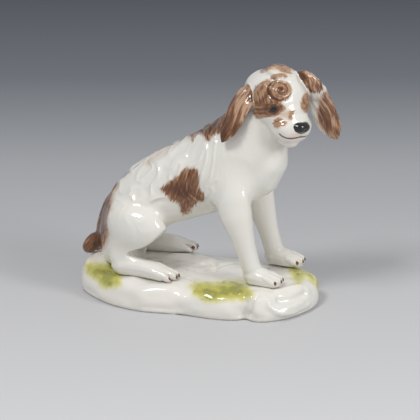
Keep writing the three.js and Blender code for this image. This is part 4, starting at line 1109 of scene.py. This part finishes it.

# --------------------------------
# Studio: a plain table whose colour goes from pale in front to dark grey blue behind, painted
# shade for the light falling off; one broad soft light from the upper left, a weaker one from
# the right, and the camera of the photograph.
# --------------------------------
PICTURE_WIDTH = 0.2058
CAMERA_DISTANCE = 7.0
CAMERA_REACH = (0.05, 50.0)
SENSOR = 0.036
AIM = (4.41, 42.65, 16.0)
ORIGIN_SHIFT = (2.175, 1.530, 0.0)
# The table's colour by distance behind the figure: painted shade, darker as the light falls
# off.
PAINTED_FALLOFF = (
    (-0.20, (0.64, 0.64, 0.64)),
    (0.00, (0.56, 0.56, 0.565)),
    (0.20, (0.375, 0.385, 0.40)),
    (0.34, (0.150, 0.162, 0.183)),
    (0.48, (0.062, 0.071, 0.087)),
)
LIGHTS = (
    ("window_left", (-0.6, 1.1, 0.8), (0.42, 0.42), 11.2),
    ("fill_right", (1.1, 0.5, 0.8), (0.4, 0.7), 8.5),
)
TABLE_SIZE, TABLE_ROUGHNESS = 14.0, 0.6
DAYLIGHT, DAYLIGHT_STRENGTH = (0.96, 0.97, 1.0, 1.0), 0.5
aim = right_way * AIM[0] + up_way * AIM[1] + toward_way * AIM[2]
aim = (aim - np.array(ORIGIN_SHIFT)) / METRE


def look_at(thing, place, target):
    thing.location = place
    thing.rotation_mode = "QUATERNION"
    thing.rotation_quaternion = (Vector(target) - Vector(place)).to_track_quat("-Z", "Y")


camera = put_in_scene("camera", bpy.data.cameras.new("camera"))
camera.data.sensor_width = SENSOR * METRE
camera.data.lens = SENSOR * METRE * CAMERA_DISTANCE / PICTURE_WIDTH
camera.data.clip_start, camera.data.clip_end = CAMERA_REACH
look_at(camera, aim + toward_way * CAMERA_DISTANCE, aim)
bpy.context.scene.camera = camera

for name, (side_way, up, toward), size, watts in LIGHTS:
    lamp = put_in_scene(name, bpy.data.lights.new(name, "AREA"))
    lamp.data.shape = "RECTANGLE"
    lamp.data.size, lamp.data.size_y = size
    lamp.data.energy = watts
    place = aim + right_way * side_way + np.array([0, 0, up]) + toward_way * toward
    look_at(lamp, place, aim)

bpy.ops.mesh.primitive_plane_add(size=TABLE_SIZE, location=(0, 0, 0))
table_top = bpy.context.object
table_top.name = "table_top"
table, tree = new_material("table_top")
place = node(tree, "TexCoord").outputs["Object"]
away = node(tree, "VectorMath", {0: place, 1: (-math.sin(AZIMUTH), math.cos(AZIMUTH), 0.0)},
            operation="DOT_PRODUCT").outputs["Value"]
first, last = PAINTED_FALLOFF[0][0], PAINTED_FALLOFF[-1][0]
share = node(tree, "MapRange", {"Value": away, "From Min": first, "From Max": last})
falloff_ramp = node(tree, "ValToRGB", {"Fac": share.outputs["Result"]})
stops = falloff_ramp.color_ramp.elements
while len(stops) < len(PAINTED_FALLOFF):
    stops.new(0.5)
for stop, (distance, color) in zip(stops, PAINTED_FALLOFF):
    stop.position = (distance - first) / (last - first)
    stop.color = (*color, 1.0)
shader = node(tree, "BsdfPrincipled", {
    "Base Color": falloff_ramp.outputs["Color"], "Roughness": TABLE_ROUGHNESS})
node(tree, "OutputMaterial", {"Surface": shader.outputs[0]})
table_top.data.materials.append(table)

world = bpy.data.worlds.new("studio")
world.use_nodes = True
sky = world.node_tree.nodes["Background"].inputs
sky["Color"].default_value = DAYLIGHT
sky["Strength"].default_value = DAYLIGHT_STRENGTH
bpy.context.scene.world = world
bpy.context.scene.view_settings.view_transform = "Standard"
